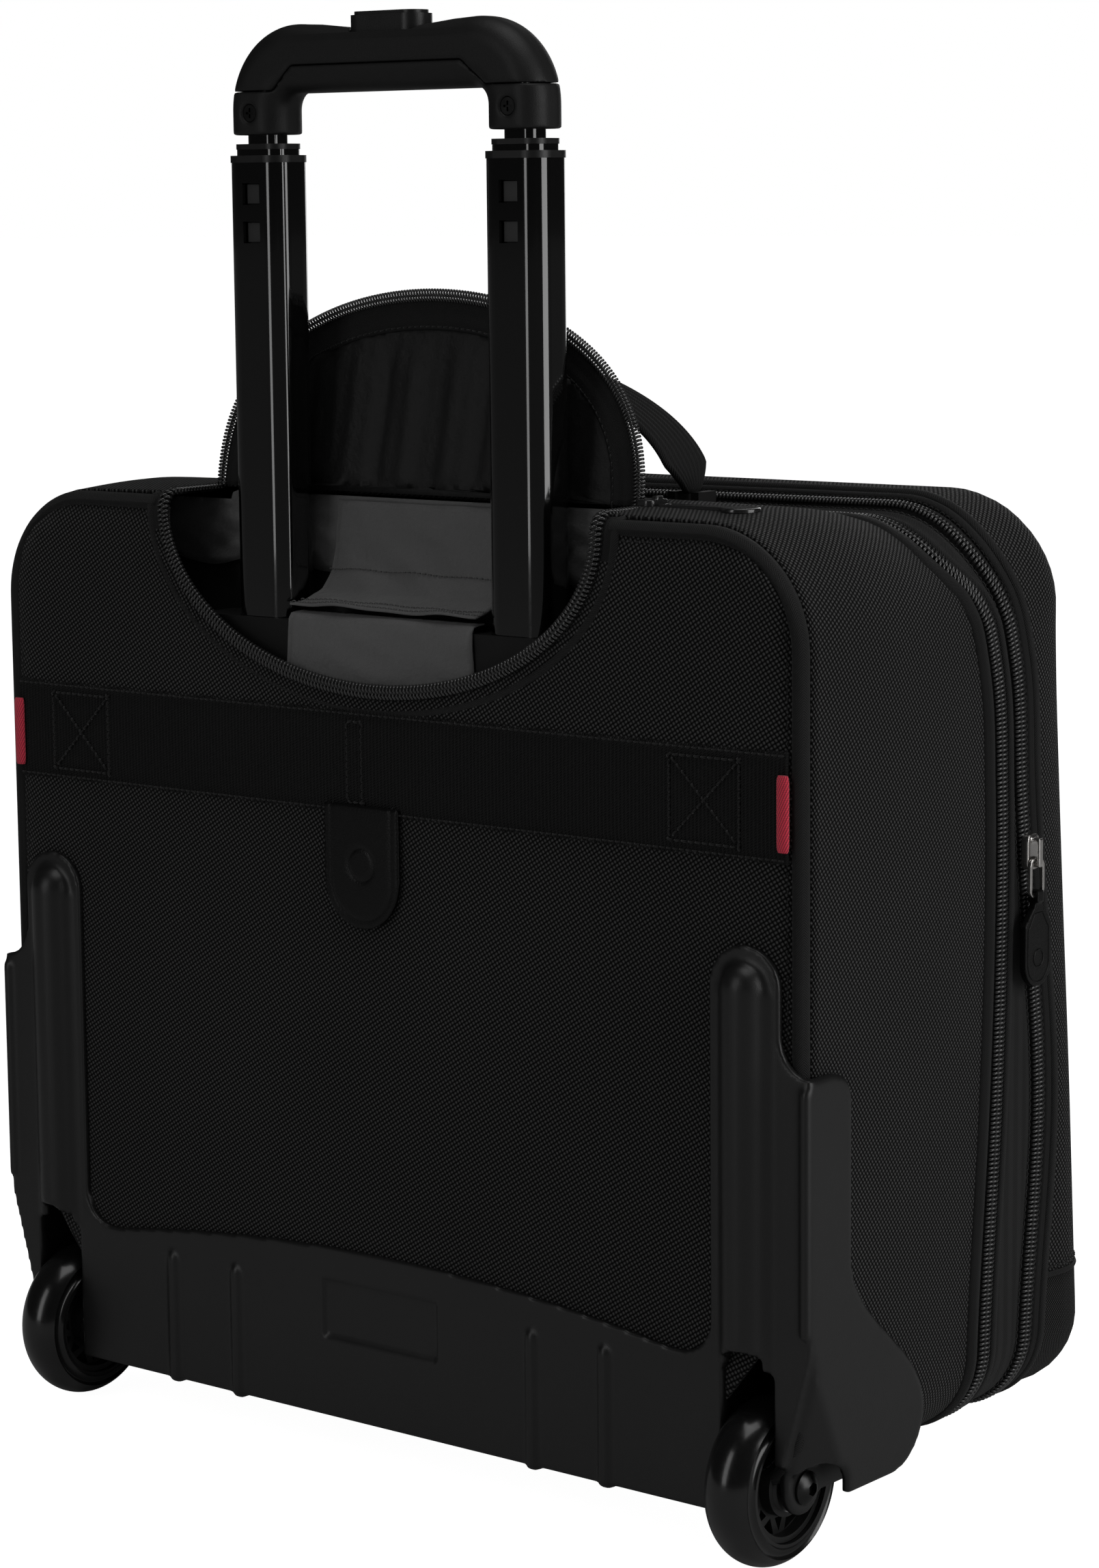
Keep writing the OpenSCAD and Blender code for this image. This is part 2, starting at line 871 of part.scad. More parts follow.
// Leather tab folded round the bottom bar of a pull loop.
module leather_puller() {
    bar_z = 0.85 - loop_h + wire / 2;
    difference() {
        translate([0, 0, bar_z]) cube([5, 4.4, 5], center = true);
        translate([0, 0, bar_z]) cube([wire + 0.6, 8, wire + 0.8], center = true);
    }
    translate([0, 0, bar_z - 2]) rotate([90, 0, 90]) linear_extrude(3, center = true) {
        polygon([[-2.2, 0], [-3.5, -3], [-10, -10], [-10, -26], [10, -26], [10, -10],
            [3.5, -3], [2.2, 0]]);
        translate([0, -26]) circle(10);
    }
}

// Places children at the top bar of a puller on the front zip's slider.
module at_front_bail() {
    translate([-case_w / 2 - coil_out - 0.2 - bail_x, front_zip_y + 2, front_slider_z - 3])
        children();
}

module at_main_bail() {
    translate([case_w / 2 + coil_out + 0.2 + bail_x, main_zip_y, main_slider_z - 3])
        children();
}

module front_slider() {
    color(steel) translate([-case_w / 2 - coil_out - 0.2, front_zip_y + 2, front_slider_z])
        mirror([1, 0, 0]) zip_slider();
}

module front_puller_ring() {
    color(steel) at_front_bail() pull_loop();
}

module front_puller() {
    color(leather_black) at_front_bail() leather_puller();
}

module main_slider() {
    color(steel) translate([case_w / 2 + coil_out + 0.2, main_zip_y, main_slider_z])
        zip_slider();
}

module main_puller() {
    color(steel) at_main_bail() {
        pull_loop();
        translate([0, 0, 1.4 - loop_h]) rotate([90, 0, 90])
            linear_extrude(wire, center = true) {
                translate([-4, -20]) square([8, 20]);
                translate([0, -20]) circle(4);
            }
    }
}

// ---- wheels ----

// Turns a shape drawn round Z so that it lies round a wheel's axle.
module on_axle(side) {
    translate([side * wheel_x, wheel_y, wheel_r]) rotate([0, side * 90, 0]) children();
}

module tyre() {
    half = tyre_w / 2;
    inner_r = 24;
    rotate_extrude($fn = 96) difference() {
        union() {
            translate([inner_r, -half]) square([wheel_r - 6 - inner_r, tyre_w]);
            intersection() {
                translate([wheel_r - 14, 0]) circle(14);
                translate([inner_r, -half]) square([wheel_r, tyre_w]);
            }
        }
        for (end = [-1, 1])
            translate([wheel_r - 7, end * (half + 1.4)]) circle(3);
    }
}

// Hub with a rim, a boss for the bearings and a ring of triangular windows.
module hub() {
    rim_r = 23.8;
    spokes = 8;
    difference() {
        cylinder(h = 18, r = rim_r, center = true);
        for (end = [-1, 1])
            translate([0, 0, end * 9]) difference() {
                cylinder(h = 10, r = rim_r - 2.4, center = true);
                cylinder(h = 11, r = 13.4, center = true);
            }
        for (k = [0 : spokes - 1])
            rotate([0, 0, k * 360 / spokes]) linear_extrude(20, center = true)
                polygon([[14.6, -2.6], [20.6, 0], [14.6, 2.6]]);
        for (k = [0 : spokes - 1])
            rotate([0, 0, (k + 0.5) * 360 / spokes]) linear_extrude(20, center = true)
                polygon([[15, 0], [20.8, -4.6], [20.8, 4.6]]);
        cylinder(h = 30, r = 6, center = true);
        for (end = [-1, 1])
            translate([0, 0, end * 7.5]) cylinder(h = 7.2, r = 11.02, center = true);
    }
}

// Two deep-groove bearings, one let into each face of the hub.
module bearings() {
    for (end = [-1, 1])
        translate([0, 0, end * 7.5]) difference() {
            cylinder(h = 7, r = 11, center = true);
            cylinder(h = 8, r = axle_r + 0.05, center = true);
            translate([0, 0, end * 3.5]) difference() {
                cylinder(h = 0.8, r = 9.4, center = true);
                cylinder(h = 1, r = 6, center = true);
            }
        }
}

module axle_bolts() {
    inner_end = opening_x[0] - leg_t[0] - 7 - wheel_x;
    head = opening_x[1] + leg_t[1] + 0.1 - wheel_x;
    head_r = 7;
    dome_r = 9.2;
    color(gloss_black) for (side = [-1, 1])
        on_axle(side) difference() {
            union() {
                translate([0, 0, inner_end]) cylinder(h = head + 0.5 - inner_end, r = axle_r);
                translate([0, 0, head]) cylinder(h = 1, r = head_r);
                translate([0, 0, head + 0.9]) intersection() {
                    translate([0, 0, -6]) sphere(dome_r);
                    cylinder(h = 4, r = head_r);
                }
            }
            translate([0, 0, head + 1.4]) cylinder(h = 4, r = 2.9, $fn = 6);
        }
}

module axle_nuts() {
    nut_t = 6;
    color(steel) for (side = [-1, 1])
        on_axle(side) translate([0, 0, opening_x[0] - leg_t[0] - 0.1 - nut_t - wheel_x])
        difference() {
            cylinder(h = nut_t, r = 7.5, $fn = 6);
            translate([0, 0, -1]) cylinder(h = nut_t + 2, r = axle_r + 0.05);
        }
}

back_panel();
edge_piping();
rear_gusset();
main_zip();
centre_panel();
front_zip();
front_shell();
front_pocket();
pocket_zip();
frame_board();
laptop_divider();
base_board();
trolley_lining();
lining_strap();
webbing_band();
band_tags();
leather_tab();
opening_zip();
rear_bumper();
front_feet();
handle_channels();
top_bracket();
bottom_bracket();
stage_1_tubes();
stage_1_collars();
stage_2_tubes();
stage_2_collars();
stage_2_glides();
lock_blocks();
stage_3_tubes();
stage_3_glides();
grip_upper();
grip_lower();
grip_screws();
release_button();
push_bar();
push_rods();
button_springs();
flap();
flap_lining();
flap_zip();
flap_slider();
flap_puller();
carry_handle();
handle_anchors();
front_slider();
front_puller_ring();
front_puller();
main_slider();
main_puller();
color(gloss_black) on_axle(1) tyre();  // tyre_left
color(gloss_black) on_axle(-1) tyre();  // tyre_right
color(hard_black) on_axle(1) hub();  // hub_left
color(hard_black) on_axle(-1) hub();  // hub_right
color(steel) on_axle(1) bearings();  // bearings_left
color(steel) on_axle(-1) bearings();  // bearings_right
axle_bolts();
axle_nuts();
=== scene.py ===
import math

import bmesh
import bpy
import numpy as np
from mathutils import Matrix, Vector
from mathutils.geometry import delaunay_2d_cdt


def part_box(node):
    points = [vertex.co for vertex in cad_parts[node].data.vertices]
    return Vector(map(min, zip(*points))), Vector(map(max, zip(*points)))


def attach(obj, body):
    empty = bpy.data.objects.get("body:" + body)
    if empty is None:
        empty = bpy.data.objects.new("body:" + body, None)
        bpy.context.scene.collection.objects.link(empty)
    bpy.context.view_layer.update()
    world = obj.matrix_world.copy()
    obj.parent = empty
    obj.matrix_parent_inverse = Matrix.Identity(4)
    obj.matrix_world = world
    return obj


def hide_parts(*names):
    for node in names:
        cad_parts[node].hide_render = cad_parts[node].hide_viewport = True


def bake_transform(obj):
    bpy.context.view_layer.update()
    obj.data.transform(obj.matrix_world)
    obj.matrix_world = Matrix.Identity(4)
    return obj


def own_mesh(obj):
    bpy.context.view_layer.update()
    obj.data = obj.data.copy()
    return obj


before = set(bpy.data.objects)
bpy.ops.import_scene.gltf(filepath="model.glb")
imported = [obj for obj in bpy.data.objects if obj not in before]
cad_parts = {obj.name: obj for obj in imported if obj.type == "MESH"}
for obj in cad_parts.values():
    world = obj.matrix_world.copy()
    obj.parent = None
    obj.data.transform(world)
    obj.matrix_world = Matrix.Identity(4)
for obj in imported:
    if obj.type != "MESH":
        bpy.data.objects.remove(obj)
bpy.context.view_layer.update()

MM = 0.001
TO_BACK = (0.0, 1.0, 0.0)
TO_FRONT = (0.0, -1.0, 0.0)
CLOTH_THICK = 1.5 * MM
RING_STEP = 6 * MM              # between points round the case
BIAS = math.radians(33)         # how far the main cloth's weave is turned


# ---- places taken from the frame ----

case_lo, case_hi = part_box("rear_gusset")
HALF_W = case_hi.x
FLOOR = case_lo.z
TOP = case_hi.z
TOP_R = 48 * MM
LOW_R = 34 * MM
BACK_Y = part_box("back_panel")[1].y

opening_lo, opening_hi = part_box("opening_zip")
OPEN_HALF = opening_hi.x - 6 * MM
OPEN_LOW = opening_lo.z + 6 * MM
HINGE_Y = opening_lo.y - 1 * MM
HINGE_Z = TOP + 1.2 * MM

FRONT_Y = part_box("front_shell")[0].y

tyre_lo, tyre_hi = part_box("tyre_left")
WELL_Y = tyre_lo.y - 8 * MM
WELL_X = 160 * MM


# ---- numbers used by every surface ----

def smooth(low, high, value):
    """0 below low, 1 above high, and a smooth step between them."""
    t = np.clip((value - low) / (high - low), 0.0, 1.0)
    return t * t * (3 - 2 * t)


def wobble(a, b, c=0.0):
    """Gentle unevenness between -1 and 1, from a few waves that never line up."""
    return (
        np.sin(a * 31 + b * 17 + 0.7)
        + np.sin(a * 13 - b * 41 + c * 23 + 2.1)
        + np.sin(b * 29 + c * 37 - a * 7 + 4.4)
    ) / 3


def curve_through(points, at):
    """A smooth curve through a few (place, value) pairs, read at the places given."""
    xs = np.array([p[0] for p in points], float)
    ys = np.array([p[1] for p in points], float)
    slopes = np.gradient(ys, xs)
    at = np.clip(at, xs[0], xs[-1])
    k = np.clip(np.searchsorted(xs, at) - 1, 0, len(xs) - 2)
    h = xs[k + 1] - xs[k]
    t = (at - xs[k]) / h
    return (
        (2 * t**3 - 3 * t**2 + 1) * ys[k]
        + (t**3 - 2 * t**2 + t) * h * slopes[k]
        + (3 * t**2 - 2 * t**3) * ys[k + 1]
        + (t**3 - t**2) * h * slopes[k + 1]
    )


def arc(start, end, count):
    """Angles in radians, evenly spaced between two given in degrees."""
    return np.radians(np.linspace(start, end, count))


def columns(*parts):
    """Rows made from columns. A single number fills its whole column."""
    return np.stack(np.broadcast_arrays(*parts), 1).astype(float)


def unit(vectors):
    return vectors / np.linalg.norm(vectors, axis=1)[:, None]


def run_length(points):
    """The distance along a path at each of its points."""
    steps = np.linalg.norm(np.diff(points, axis=0), axis=1)
    return np.concatenate([[0], np.cumsum(steps)])


def facing(points, out):
    """Rows x, y, z, out x, out y, out z. A single direction out serves every point."""
    points = np.asarray(points, float)
    return np.concatenate([points, np.broadcast_to(np.asarray(out, float), points.shape)], 1)


def cushion(u, v, middle, reach):
    """1 in the middle of a rectangle, falling to 0 at its edges."""
    across = np.clip(1 - ((u - middle[0]) / reach[0]) ** 2, 0, 1)
    return across * np.clip(1 - ((v - middle[1]) / reach[1]) ** 2, 0, 1)


def rounded_corners(half, low, high, low_r, top_r, count):
    """Points round the corners of an upright rectangle, from the lower right one round to
    the lower left, with the directions out: rows of x, z, out x, out z."""
    corners = (
        (half - low_r, low + low_r, low_r, -90),
        (half - top_r, high - top_r, top_r, 0),
        (top_r - half, high - top_r, top_r, 90),
        (low_r - half, low + low_r, low_r, 180),
    )
    rows = []
    for x, z, r, start in corners:
        for angle in arc(start, start + 90, count):
            c, s = math.cos(angle), math.sin(angle)
            rows.append((x + r * c, z + r * s, c, s))
    return rows


# ---- making meshes ----

def link(name, data):
    """Puts new data into the scene as an object."""
    thing = bpy.data.objects.new(name, data)
    bpy.context.scene.collection.objects.link(thing)
    return thing


def make_piece(name, verts, faces, uvs=None):
    """A smooth piece of the scene. Its "cloth" UVs are distances in metres, for the weaves."""
    mesh = bpy.data.meshes.new(name)
    mesh.from_pydata([tuple(v) for v in verts], [], [tuple(f) for f in faces])
    if uvs is not None:
        layer = mesh.uv_layers.new(name="cloth")
        loops = np.zeros(len(mesh.loops), np.int32)
        mesh.loops.foreach_get("vertex_index", loops)
        layer.data.foreach_set("uv", np.asarray(uvs, np.float32)[loops].ravel())
    mesh.polygons.foreach_set("use_smooth", [True] * len(mesh.polygons))
    mesh.update()
    return link(name, mesh)


def dress(piece, material, body="case", replaces=()):
    """Gives a piece its material and the body it rides on, and hides the CAD parts it replaces."""
    piece.data.materials.clear()
    piece.data.materials.append(material)
    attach(piece, body)
    if replaces:
        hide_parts(*replaces)
    return piece


def thicken(piece, thickness, offset=-1.0):
    """Gives a sheet its thickness: below its face, or to both sides of it if offset is 0."""
    mod = piece.modifiers.new("thickness", "SOLIDIFY")
    mod.thickness = thickness
    mod.offset = offset
    mod.use_even_offset = True
    return piece


def grid_faces(rows, cols, keep=None):
    """Quads between neighbouring rows and columns of points, less those that keep() refuses."""
    faces = []
    for r in range(rows - 1):
        for c in range(cols - 1):
            if keep is None or keep(r, c):
                a = r * cols + c
                faces.append((a, a + 1, a + cols + 1, a + cols))
    return faces


def grid_piece(name, points, uvs, keep=None, flip=False):
    """A piece over rows and columns of points, without the points that no face uses."""
    rows, cols = points.shape[:2]
    faces = grid_faces(rows, cols, keep)
    if flip:
        faces = [f[::-1] for f in faces]
    used = sorted({v for f in faces for v in f})
    new = {v: k for k, v in enumerate(used)}
    flat, flat_uv = points.reshape(-1, 3), uvs.reshape(-1, 2)
    return make_piece(name, flat[used], [tuple(new[v] for v in f) for f in faces], flat_uv[used])


def joined(name, parts):
    """One piece from several (points, faces) parts."""
    verts, faces, start = [], [], 0
    for part_verts, part_faces in parts:
        verts.extend(part_verts)
        faces.extend(tuple(v + start for v in f) for f in part_faces)
        start += len(part_verts)
    return make_piece(name, verts, faces)


def frames_along(points, out, closed=False):
    """Directions along and across a path, and out of it square to both."""
    if closed:
        along = unit(np.roll(points, -1, 0) - np.roll(points, 1, 0))
    else:
        along = unit(np.gradient(points, axis=0))
    across = unit(np.cross(along, out))
    return along, across, np.cross(across, along)


def sweep(points, out, profile, closed=False, scale=None):
    """Points and faces of a profile drawn along a path. profile holds (across, out) pairs."""
    points = np.asarray(points, float)
    _, across, out = frames_along(points, out, closed)
    scale = np.ones(len(points)) if scale is None else scale
    n, m = len(points), len(profile)
    verts = np.concatenate([
        p + s * (profile[:, :1] * a + profile[:, 1:] * o)
        for p, a, o, s in zip(points, across, out, scale)
    ])
    faces = [
        (r * m + k, r * m + (k + 1) % m, (r + 1) % n * m + (k + 1) % m, (r + 1) % n * m + k)
        for r in range(n if closed else n - 1)
        for k in range(m)
    ]
    if not closed:
        faces.append(tuple(range(m))[::-1])
        faces.append(tuple((n - 1) * m + k for k in range(m)))
    return verts, faces


def round_profile(radius, sides=12, squash=1.0):
    """A round cross-section, flattened if squash is less than 1."""
    turn = np.arange(sides) * 2 * math.pi / sides
    return np.stack([radius * np.cos(turn), radius * squash * np.sin(turn)], 1)


def strap_profile(width, thickness, ribs=0, rib_depth=0.0):
    """Cross-section of a strap with rounded edges, and ribs along it if asked for."""
    x = np.linspace(-0.5, 0.5, max(8, ribs * 6) + 1)
    edge = np.sqrt(np.clip(1 - (2 * np.abs(x)) ** 10, 0, 1))
    wave = rib_depth * np.cos(2 * math.pi * ribs * x)
    upper = columns(x * width, edge * (thickness / 2 + wave))
    lower = columns(x[::-1] * width, -edge * (thickness / 2))[1:-1]
    return np.concatenate([upper, lower])[::-1]


def tube_piece(name, rows, profile, closed=False, scale=None, shape=None):
    """A profile swept along rows x, y, z, out x, out y, out z, with its weave along it.
    shape() may move its points, which it gets as one ring for each row."""
    verts, faces = sweep(rows[:, :3], rows[:, 3:], profile, closed, scale)
    if shape is not None:
        verts = shape(verts.reshape(len(rows), len(profile), 3)).reshape(-1, 3)
    length, girth = run_length(rows[:, :3]), run_length(profile)
    uvs = columns(np.repeat(length, len(profile)), np.tile(girth, len(rows)))
    return make_piece(name, verts, faces, uvs)


def fill_outline(outline, spacing):
    """Triangles over a flat outline, on an even grid of points. Returns 2D points and faces."""
    count = len(outline)
    verts = [tuple(p) for p in outline]
    edges = [(k, (k + 1) % count) for k in range(count)]
    lo, hi = outline.min(0), outline.max(0)
    row_step = spacing * math.sqrt(3) / 2
    for r in range(1, int((hi[1] - lo[1]) / row_step) + 1):
        z = lo[1] + r * row_step
        for x in np.arange(lo[0] + (r % 2) * spacing / 2, hi[0], spacing):
            p = np.array([x, z])
            if inside(p, outline) and edge_gap(p, outline) > spacing * 0.45:
                verts.append((x, z))
    out = delaunay_2d_cdt([Vector(v) for v in verts], edges, [], 1, 1e-7)
    return np.array([tuple(v) for v in out[0]]), [tuple(f) for f in out[2]]


def inside(p, outline):
    """True where a point is inside an outline, from the edges that lie to one side of it."""
    a, b = outline, np.roll(outline, -1, 0)
    spans = (a[:, 1] > p[1]) != (b[:, 1] > p[1])
    a, b = a[spans], b[spans]
    x = a[:, 0] + (p[1] - a[:, 1]) / (b[:, 1] - a[:, 1]) * (b[:, 0] - a[:, 0])
    return (x > p[0]).sum() % 2 == 1


def edge_gap(p, outline):
    """Distance from a point to the nearest corner of a closely spaced outline."""
    return np.sqrt(((outline - p) ** 2).sum(1).min())


def sheet_piece(name, outline, spacing, place):
    """A piece over a flat outline: place() puts its (u, v) points in space."""
    flat, faces = fill_outline(outline, spacing)
    return make_piece(name, place(flat[:, 0], flat[:, 1]), faces, flat)


def resample(points, step, closed=False):
    """The same path with its points evenly spaced. Columns after the third go along."""
    points = np.asarray(points, float)
    if closed:
        points = np.concatenate([points, points[:1]])
    total = run_length(points[:, :3])
    count = max(2, int(round(total[-1] / step)))
    at = np.linspace(0, total[-1], count + 1)
    if closed:
        at = at[:-1]
    return np.stack([np.interp(at, total, points[:, k]) for k in range(points.shape[1])], 1)


# ---- the case as one skin ----

def case_path(step, inset=0.0):
    """Evenly spaced points round the case, seen from the back, with the directions out of
    it: rows of x, z, out x, out z. It starts and ends at the middle of the bottom."""
    low = FLOOR + inset
    middle = [(0.0, low, 0.0, -1.0)]
    round_case = rounded_corners(HALF_W - inset, low, TOP - inset, LOW_R - inset, TOP_R - inset, 19)
    rows = np.array(middle + round_case + middle)
    total = run_length(rows[:, :2])
    at = np.linspace(0, total[-1], int(total[-1] / step) + 1)
    out = np.stack([np.interp(at, total, rows[:, k]) for k in range(4)], 1)
    out[:, 2:] = unit(out[:, 2:])
    return out, at


def ring_y(path, side_points, top_points):
    """Where a line round the case sits along Y, from points in mm: by height on the sides,
    and by distance from the middle along the top. The bottom keeps the lowest side value."""
    side = curve_through(side_points, path[:, 1] / MM)
    top = curve_through(top_points, np.abs(path[:, 0] / MM))
    return MM * (side + (top - side) * smooth(0.25, 0.9, path[:, 3]))


def main_zip_y(path):
    """The main zip sweeps back at the top. Its slider's side runs straight, for the slider."""
    top = [(0, -16), (120, -12), (175, -8), (218, -8)]
    swept = [(31, -27), (72, -29), (172, -37), (257, -40), (300, -39.5), (346, -36), (372, -28),
             (400, -13)]
    straight = [(31, -34), (120, -38), (172, -38), (300, -38), (346, -35), (372, -27), (400, -13)]
    return np.where(path[:, 0] > 0, ring_y(path, straight, top), ring_y(path, swept, top))


def front_zip_y(path):
    """The front zip, which follows the leaning front of the case."""
    side = [(31, -58), (71, -61), (167, -69.5), (272, -57.2), (300, -54.5), (346, -51), (389, -38),
            (405, -34)]
    top = [(0, -36), (120, -34), (175, -31), (218, -31)]
    return ring_y(path, side, top)


def swell(path, y):
    """How far the soft case stands out from its frame, at places round it and along Y."""
    x, z, out_x, out_z = path.T
    back = main_zip_y(path)
    t = np.clip((BACK_Y - 6 * MM - y) / (BACK_Y - 6 * MM - back), 0, 1)
    rear = np.sin(math.pi * t) * (2.2 * MM + 0.9 * MM * wobble(x * 0.4, z * 0.5, y))
    top = np.clip(out_z, 0, 1)
    dip = -5.0 * MM * top * np.exp(-((y - back) / (26 * MM)) ** 2)
    hump = 4.5 * MM * top * smooth(0, 1, (back - 12 * MM - y) / (30 * MM))
    crown = 3.0 * MM * top * np.cos(np.clip(x / HALF_W, -1, 1) * math.pi / 2)
    side_hump = 2.0 * MM * np.abs(out_x) * smooth(0, 1, (back - 40 * MM - y) / (25 * MM))
    return rear + dip + hump + crown * smooth(0.0, 0.06, y) + side_hump


def off_path(path, y, out):
    """Points beside the case's path, at y and a distance out from it."""
    return columns(path[:, 0] + path[:, 2] * out, y, path[:, 1] + path[:, 3] * out)


def on_skin(path, y, lift=0.0):
    """Points on the soft case at y, or lifted off it."""
    return off_path(path, y, swell(path, y) + lift)


def ring_strip(name, y_from, y_to, rows, lift=None, keep=None):
    """A strip of cloth round the case between two lines."""
    path, at = case_path(RING_STEP)
    start, end = y_from(path), y_to(path)
    points, uvs = [], []
    for t in np.linspace(0, 1, rows + 1):
        y = start + (end - start) * t
        points.append(on_skin(path, y, lift(t) if lift else 0.0))
        uvs.append(columns(at, y))
    points, uvs = np.array(points), np.array(uvs)
    if keep is None:
        return grid_piece(name, points, uvs)
    centre = (points[:-1, :-1] + points[1:, 1:]) / 2
    return grid_piece(name, points, uvs, keep=lambda r, c: keep(centre[r, c]))


# ---- materials ----

class Nodes:
    """Strings the nodes of one material together."""

    def __init__(self, name):
        self.material = bpy.data.materials.new(name)
        self.material.use_nodes = True
        self.tree = self.material.node_tree
        self.shader = self.tree.nodes["Principled BSDF"]

    def add(self, kind, **settings):
        node = self.tree.nodes.new(kind)
        for key, value in settings.items():
            setattr(node, key, value)
        return node

    def put(self, socket, value):
        """Feeds a socket from another node, or sets its value."""
        if isinstance(value, bpy.types.NodeSocket):
            self.tree.links.new(value, socket)
        else:
            socket.default_value = value

    def math(self, operation, a, b=0.0):
        node = self.add("ShaderNodeMath", operation=operation)
        self.put(node.inputs[0], a)
        self.put(node.inputs[1], b)
        return node.outputs[0]

    def times(self, first, *others):
        """The product of two or more values."""
        product = first
        for other in others:
            product = self.math("MULTIPLY", product, other)
        return product

    def uv(self, turn=0.0):
        """The cloth's own across and along distances, in metres, turned by an angle."""
        source = self.add("ShaderNodeUVMap", uv_map="cloth").outputs[0]
        mapping = self.add("ShaderNodeMapping", vector_type="POINT")
        mapping.inputs["Rotation"].default_value = (0, 0, turn)
        self.put(mapping.inputs["Vector"], source)
        split = self.add("ShaderNodeSeparateXYZ")
        self.put(split.inputs[0], mapping.outputs[0])
        return split.outputs[0], split.outputs[1]

    def place(self):
        return self.add("ShaderNodeTexCoord").outputs["Object"]

    def noise(self, scale, detail=3.0, rough=0.5):
        node = self.add("ShaderNodeTexNoise")
        node.inputs["Scale"].default_value = scale
        node.inputs["Detail"].default_value = detail
        node.inputs["Roughness"].default_value = rough
        self.put(node.inputs["Vector"], self.place())
        return node.outputs[0]

    def cells(self, scale, feature="F1"):
        node = self.add("ShaderNodeTexVoronoi", feature=feature)
        node.inputs["Scale"].default_value = scale
        self.put(node.inputs["Vector"], self.place())
        return node.outputs[0]

    def blend(self, factor, low, high):
        """A number between low and high."""
        node = self.add("ShaderNodeMapRange")
        self.put(node.inputs[0], factor)
        node.inputs[3].default_value = low
        node.inputs[4].default_value = high
        return node.outputs[0]

    def tint(self, factor, dark, light):
        node = self.add("ShaderNodeMix", data_type="RGBA")
        self.put(node.inputs[0], factor)
        node.inputs[6].default_value = (*dark, 1)
        node.inputs[7].default_value = (*light, 1)
        return node.outputs[2]

    def bump(self, height, depth, strength=1.0, under=None):
        node = self.add("ShaderNodeBump")
        node.inputs["Strength"].default_value = strength
        node.inputs["Distance"].default_value = depth
        self.put(node.inputs["Height"], height)
        if under is not None:
            self.put(node.inputs["Normal"], under)
        return node.outputs[0]

    def finish(self, colour, rough, normal=None, **inputs):
        names = {
            "metal": "Metallic", "specular": "Specular IOR Level", "sheen": "Sheen Weight",
            "sheen_rough": "Sheen Roughness", "coat": "Coat Weight", "coat_rough": "Coat Roughness",
        }
        self.put(self.shader.inputs["Base Color"], colour)
        self.put(self.shader.inputs["Roughness"], rough)
        for key, value in inputs.items():
            self.put(self.shader.inputs[names[key]], value)
        if normal is not None:
            self.put(self.shader.inputs["Normal"], normal)
        return self.material


def grey(level, warm=0.0):
    return (level * (1 + warm), level, level * (1 - warm))


def waves(n, place, pitch):
    """A wave from -1 to 1 that repeats every two threads, and its thread profile."""
    side = n.math("SINE", n.math("MULTIPLY", place, math.pi / pitch))
    return side, n.math("POWER", n.math("ABSOLUTE", side), 0.6)


def crossed_ribs(n, place, pitch, cross_place, cross_pitch, low):
    """Ribs with finer lines across them, which press them down to a share of their height."""
    _, rib = waves(n, place, pitch)
    _, cross = waves(n, cross_place, cross_pitch)
    return n.times(rib, n.blend(cross, low, 1.0))


def woven_cloth(name, dark, light, thread, depth, turn=0.0, rough=0.6, sheen=0.06, patch=0.25):
    """Plain weave: threads over and under each other, with painted shade in the pin holes between them and
    painted light on the thread tops.
    """
    n = Nodes(name)
    u, v = n.uv(turn)
    side_u, round_u = waves(n, u, thread)
    side_v, round_v = waves(n, v, thread)
    over = n.math("ADD", n.times(side_u, side_v, 0.5), 0.5)
    warp = n.times(round_u, over)
    weft = n.times(round_v, n.math("SUBTRACT", 1.0, over))
    height = n.times(n.math("MAXIMUM", warp, weft), n.times(round_u, round_v))
    fibre = n.noise(2400, 2)
    lumps = n.noise(9, 3)
    raised = n.math("POWER", height, 1.4)
    # painted shade and light: the colour follows thread height, dark in the pin holes and light on the
    # thread tops; lumps add random tone
    colour = n.tint(n.times(raised, n.blend(lumps, 1 - patch, 1 + patch)), dark, light)
    bump = n.bump(height, depth, 1.0, n.bump(fibre, depth * 0.25, 0.5))
    shine = n.blend(raised, 0.0, 0.3)
    return n.finish(colour, n.blend(height, rough + 0.15, rough), bump, sheen=sheen, specular=shine)


def herringbone_tape(name, dark, light, pitch, depth, column, rough=0.6):
    """Twill whose diagonal turns back at each column, with painted shade in its grooves."""
    n = Nodes(name)
    u, v = n.uv()
    fold = n.add("ShaderNodeMath", operation="PINGPONG")
    n.put(fold.inputs[0], v)
    fold.inputs[1].default_value = column
    slant = n.math("ADD", u, fold.outputs[0])
    height = crossed_ribs(n, slant, pitch, v, pitch * 0.6, 0.65)
    # painted shade: the colour follows the twill's height, darker in its grooves; the noise adds random
    # tone
    colour = n.tint(n.times(height, n.blend(n.noise(14), 0.7, 1.1)), dark, light)
    return n.finish(colour, rough, n.bump(height, depth), sheen=0.05, specular=0.2)


def satin(name, dark, light, rough, sheen):
    """Thin slippery lining with a fine twill line in painted shade and soft patches of painted shine."""
    n = Nodes(name)
    u, v = n.uv()
    height = crossed_ribs(
        n, n.math("ADD", u, v), 0.35 * MM, n.math("SUBTRACT", v, u), 0.5 * MM, 0.6
    )
    # painted shine: soft patches that lighten and darken the lining's colour
    painted_shine = n.blend(n.noise(22, 4), 0.7, 1.15)
    # painted shade: the colour follows the twill's height, darker in its grooves
    colour = n.tint(n.times(n.blend(height, 0.6, 1.0), painted_shine), dark, light)
    crinkle = n.bump(n.noise(60, 5, 0.62), 3.0 * MM, 0.55)
    return n.finish(colour, rough, n.bump(height, 0.05 * MM, 1.0, crinkle), sheen=sheen, specular=0.4)


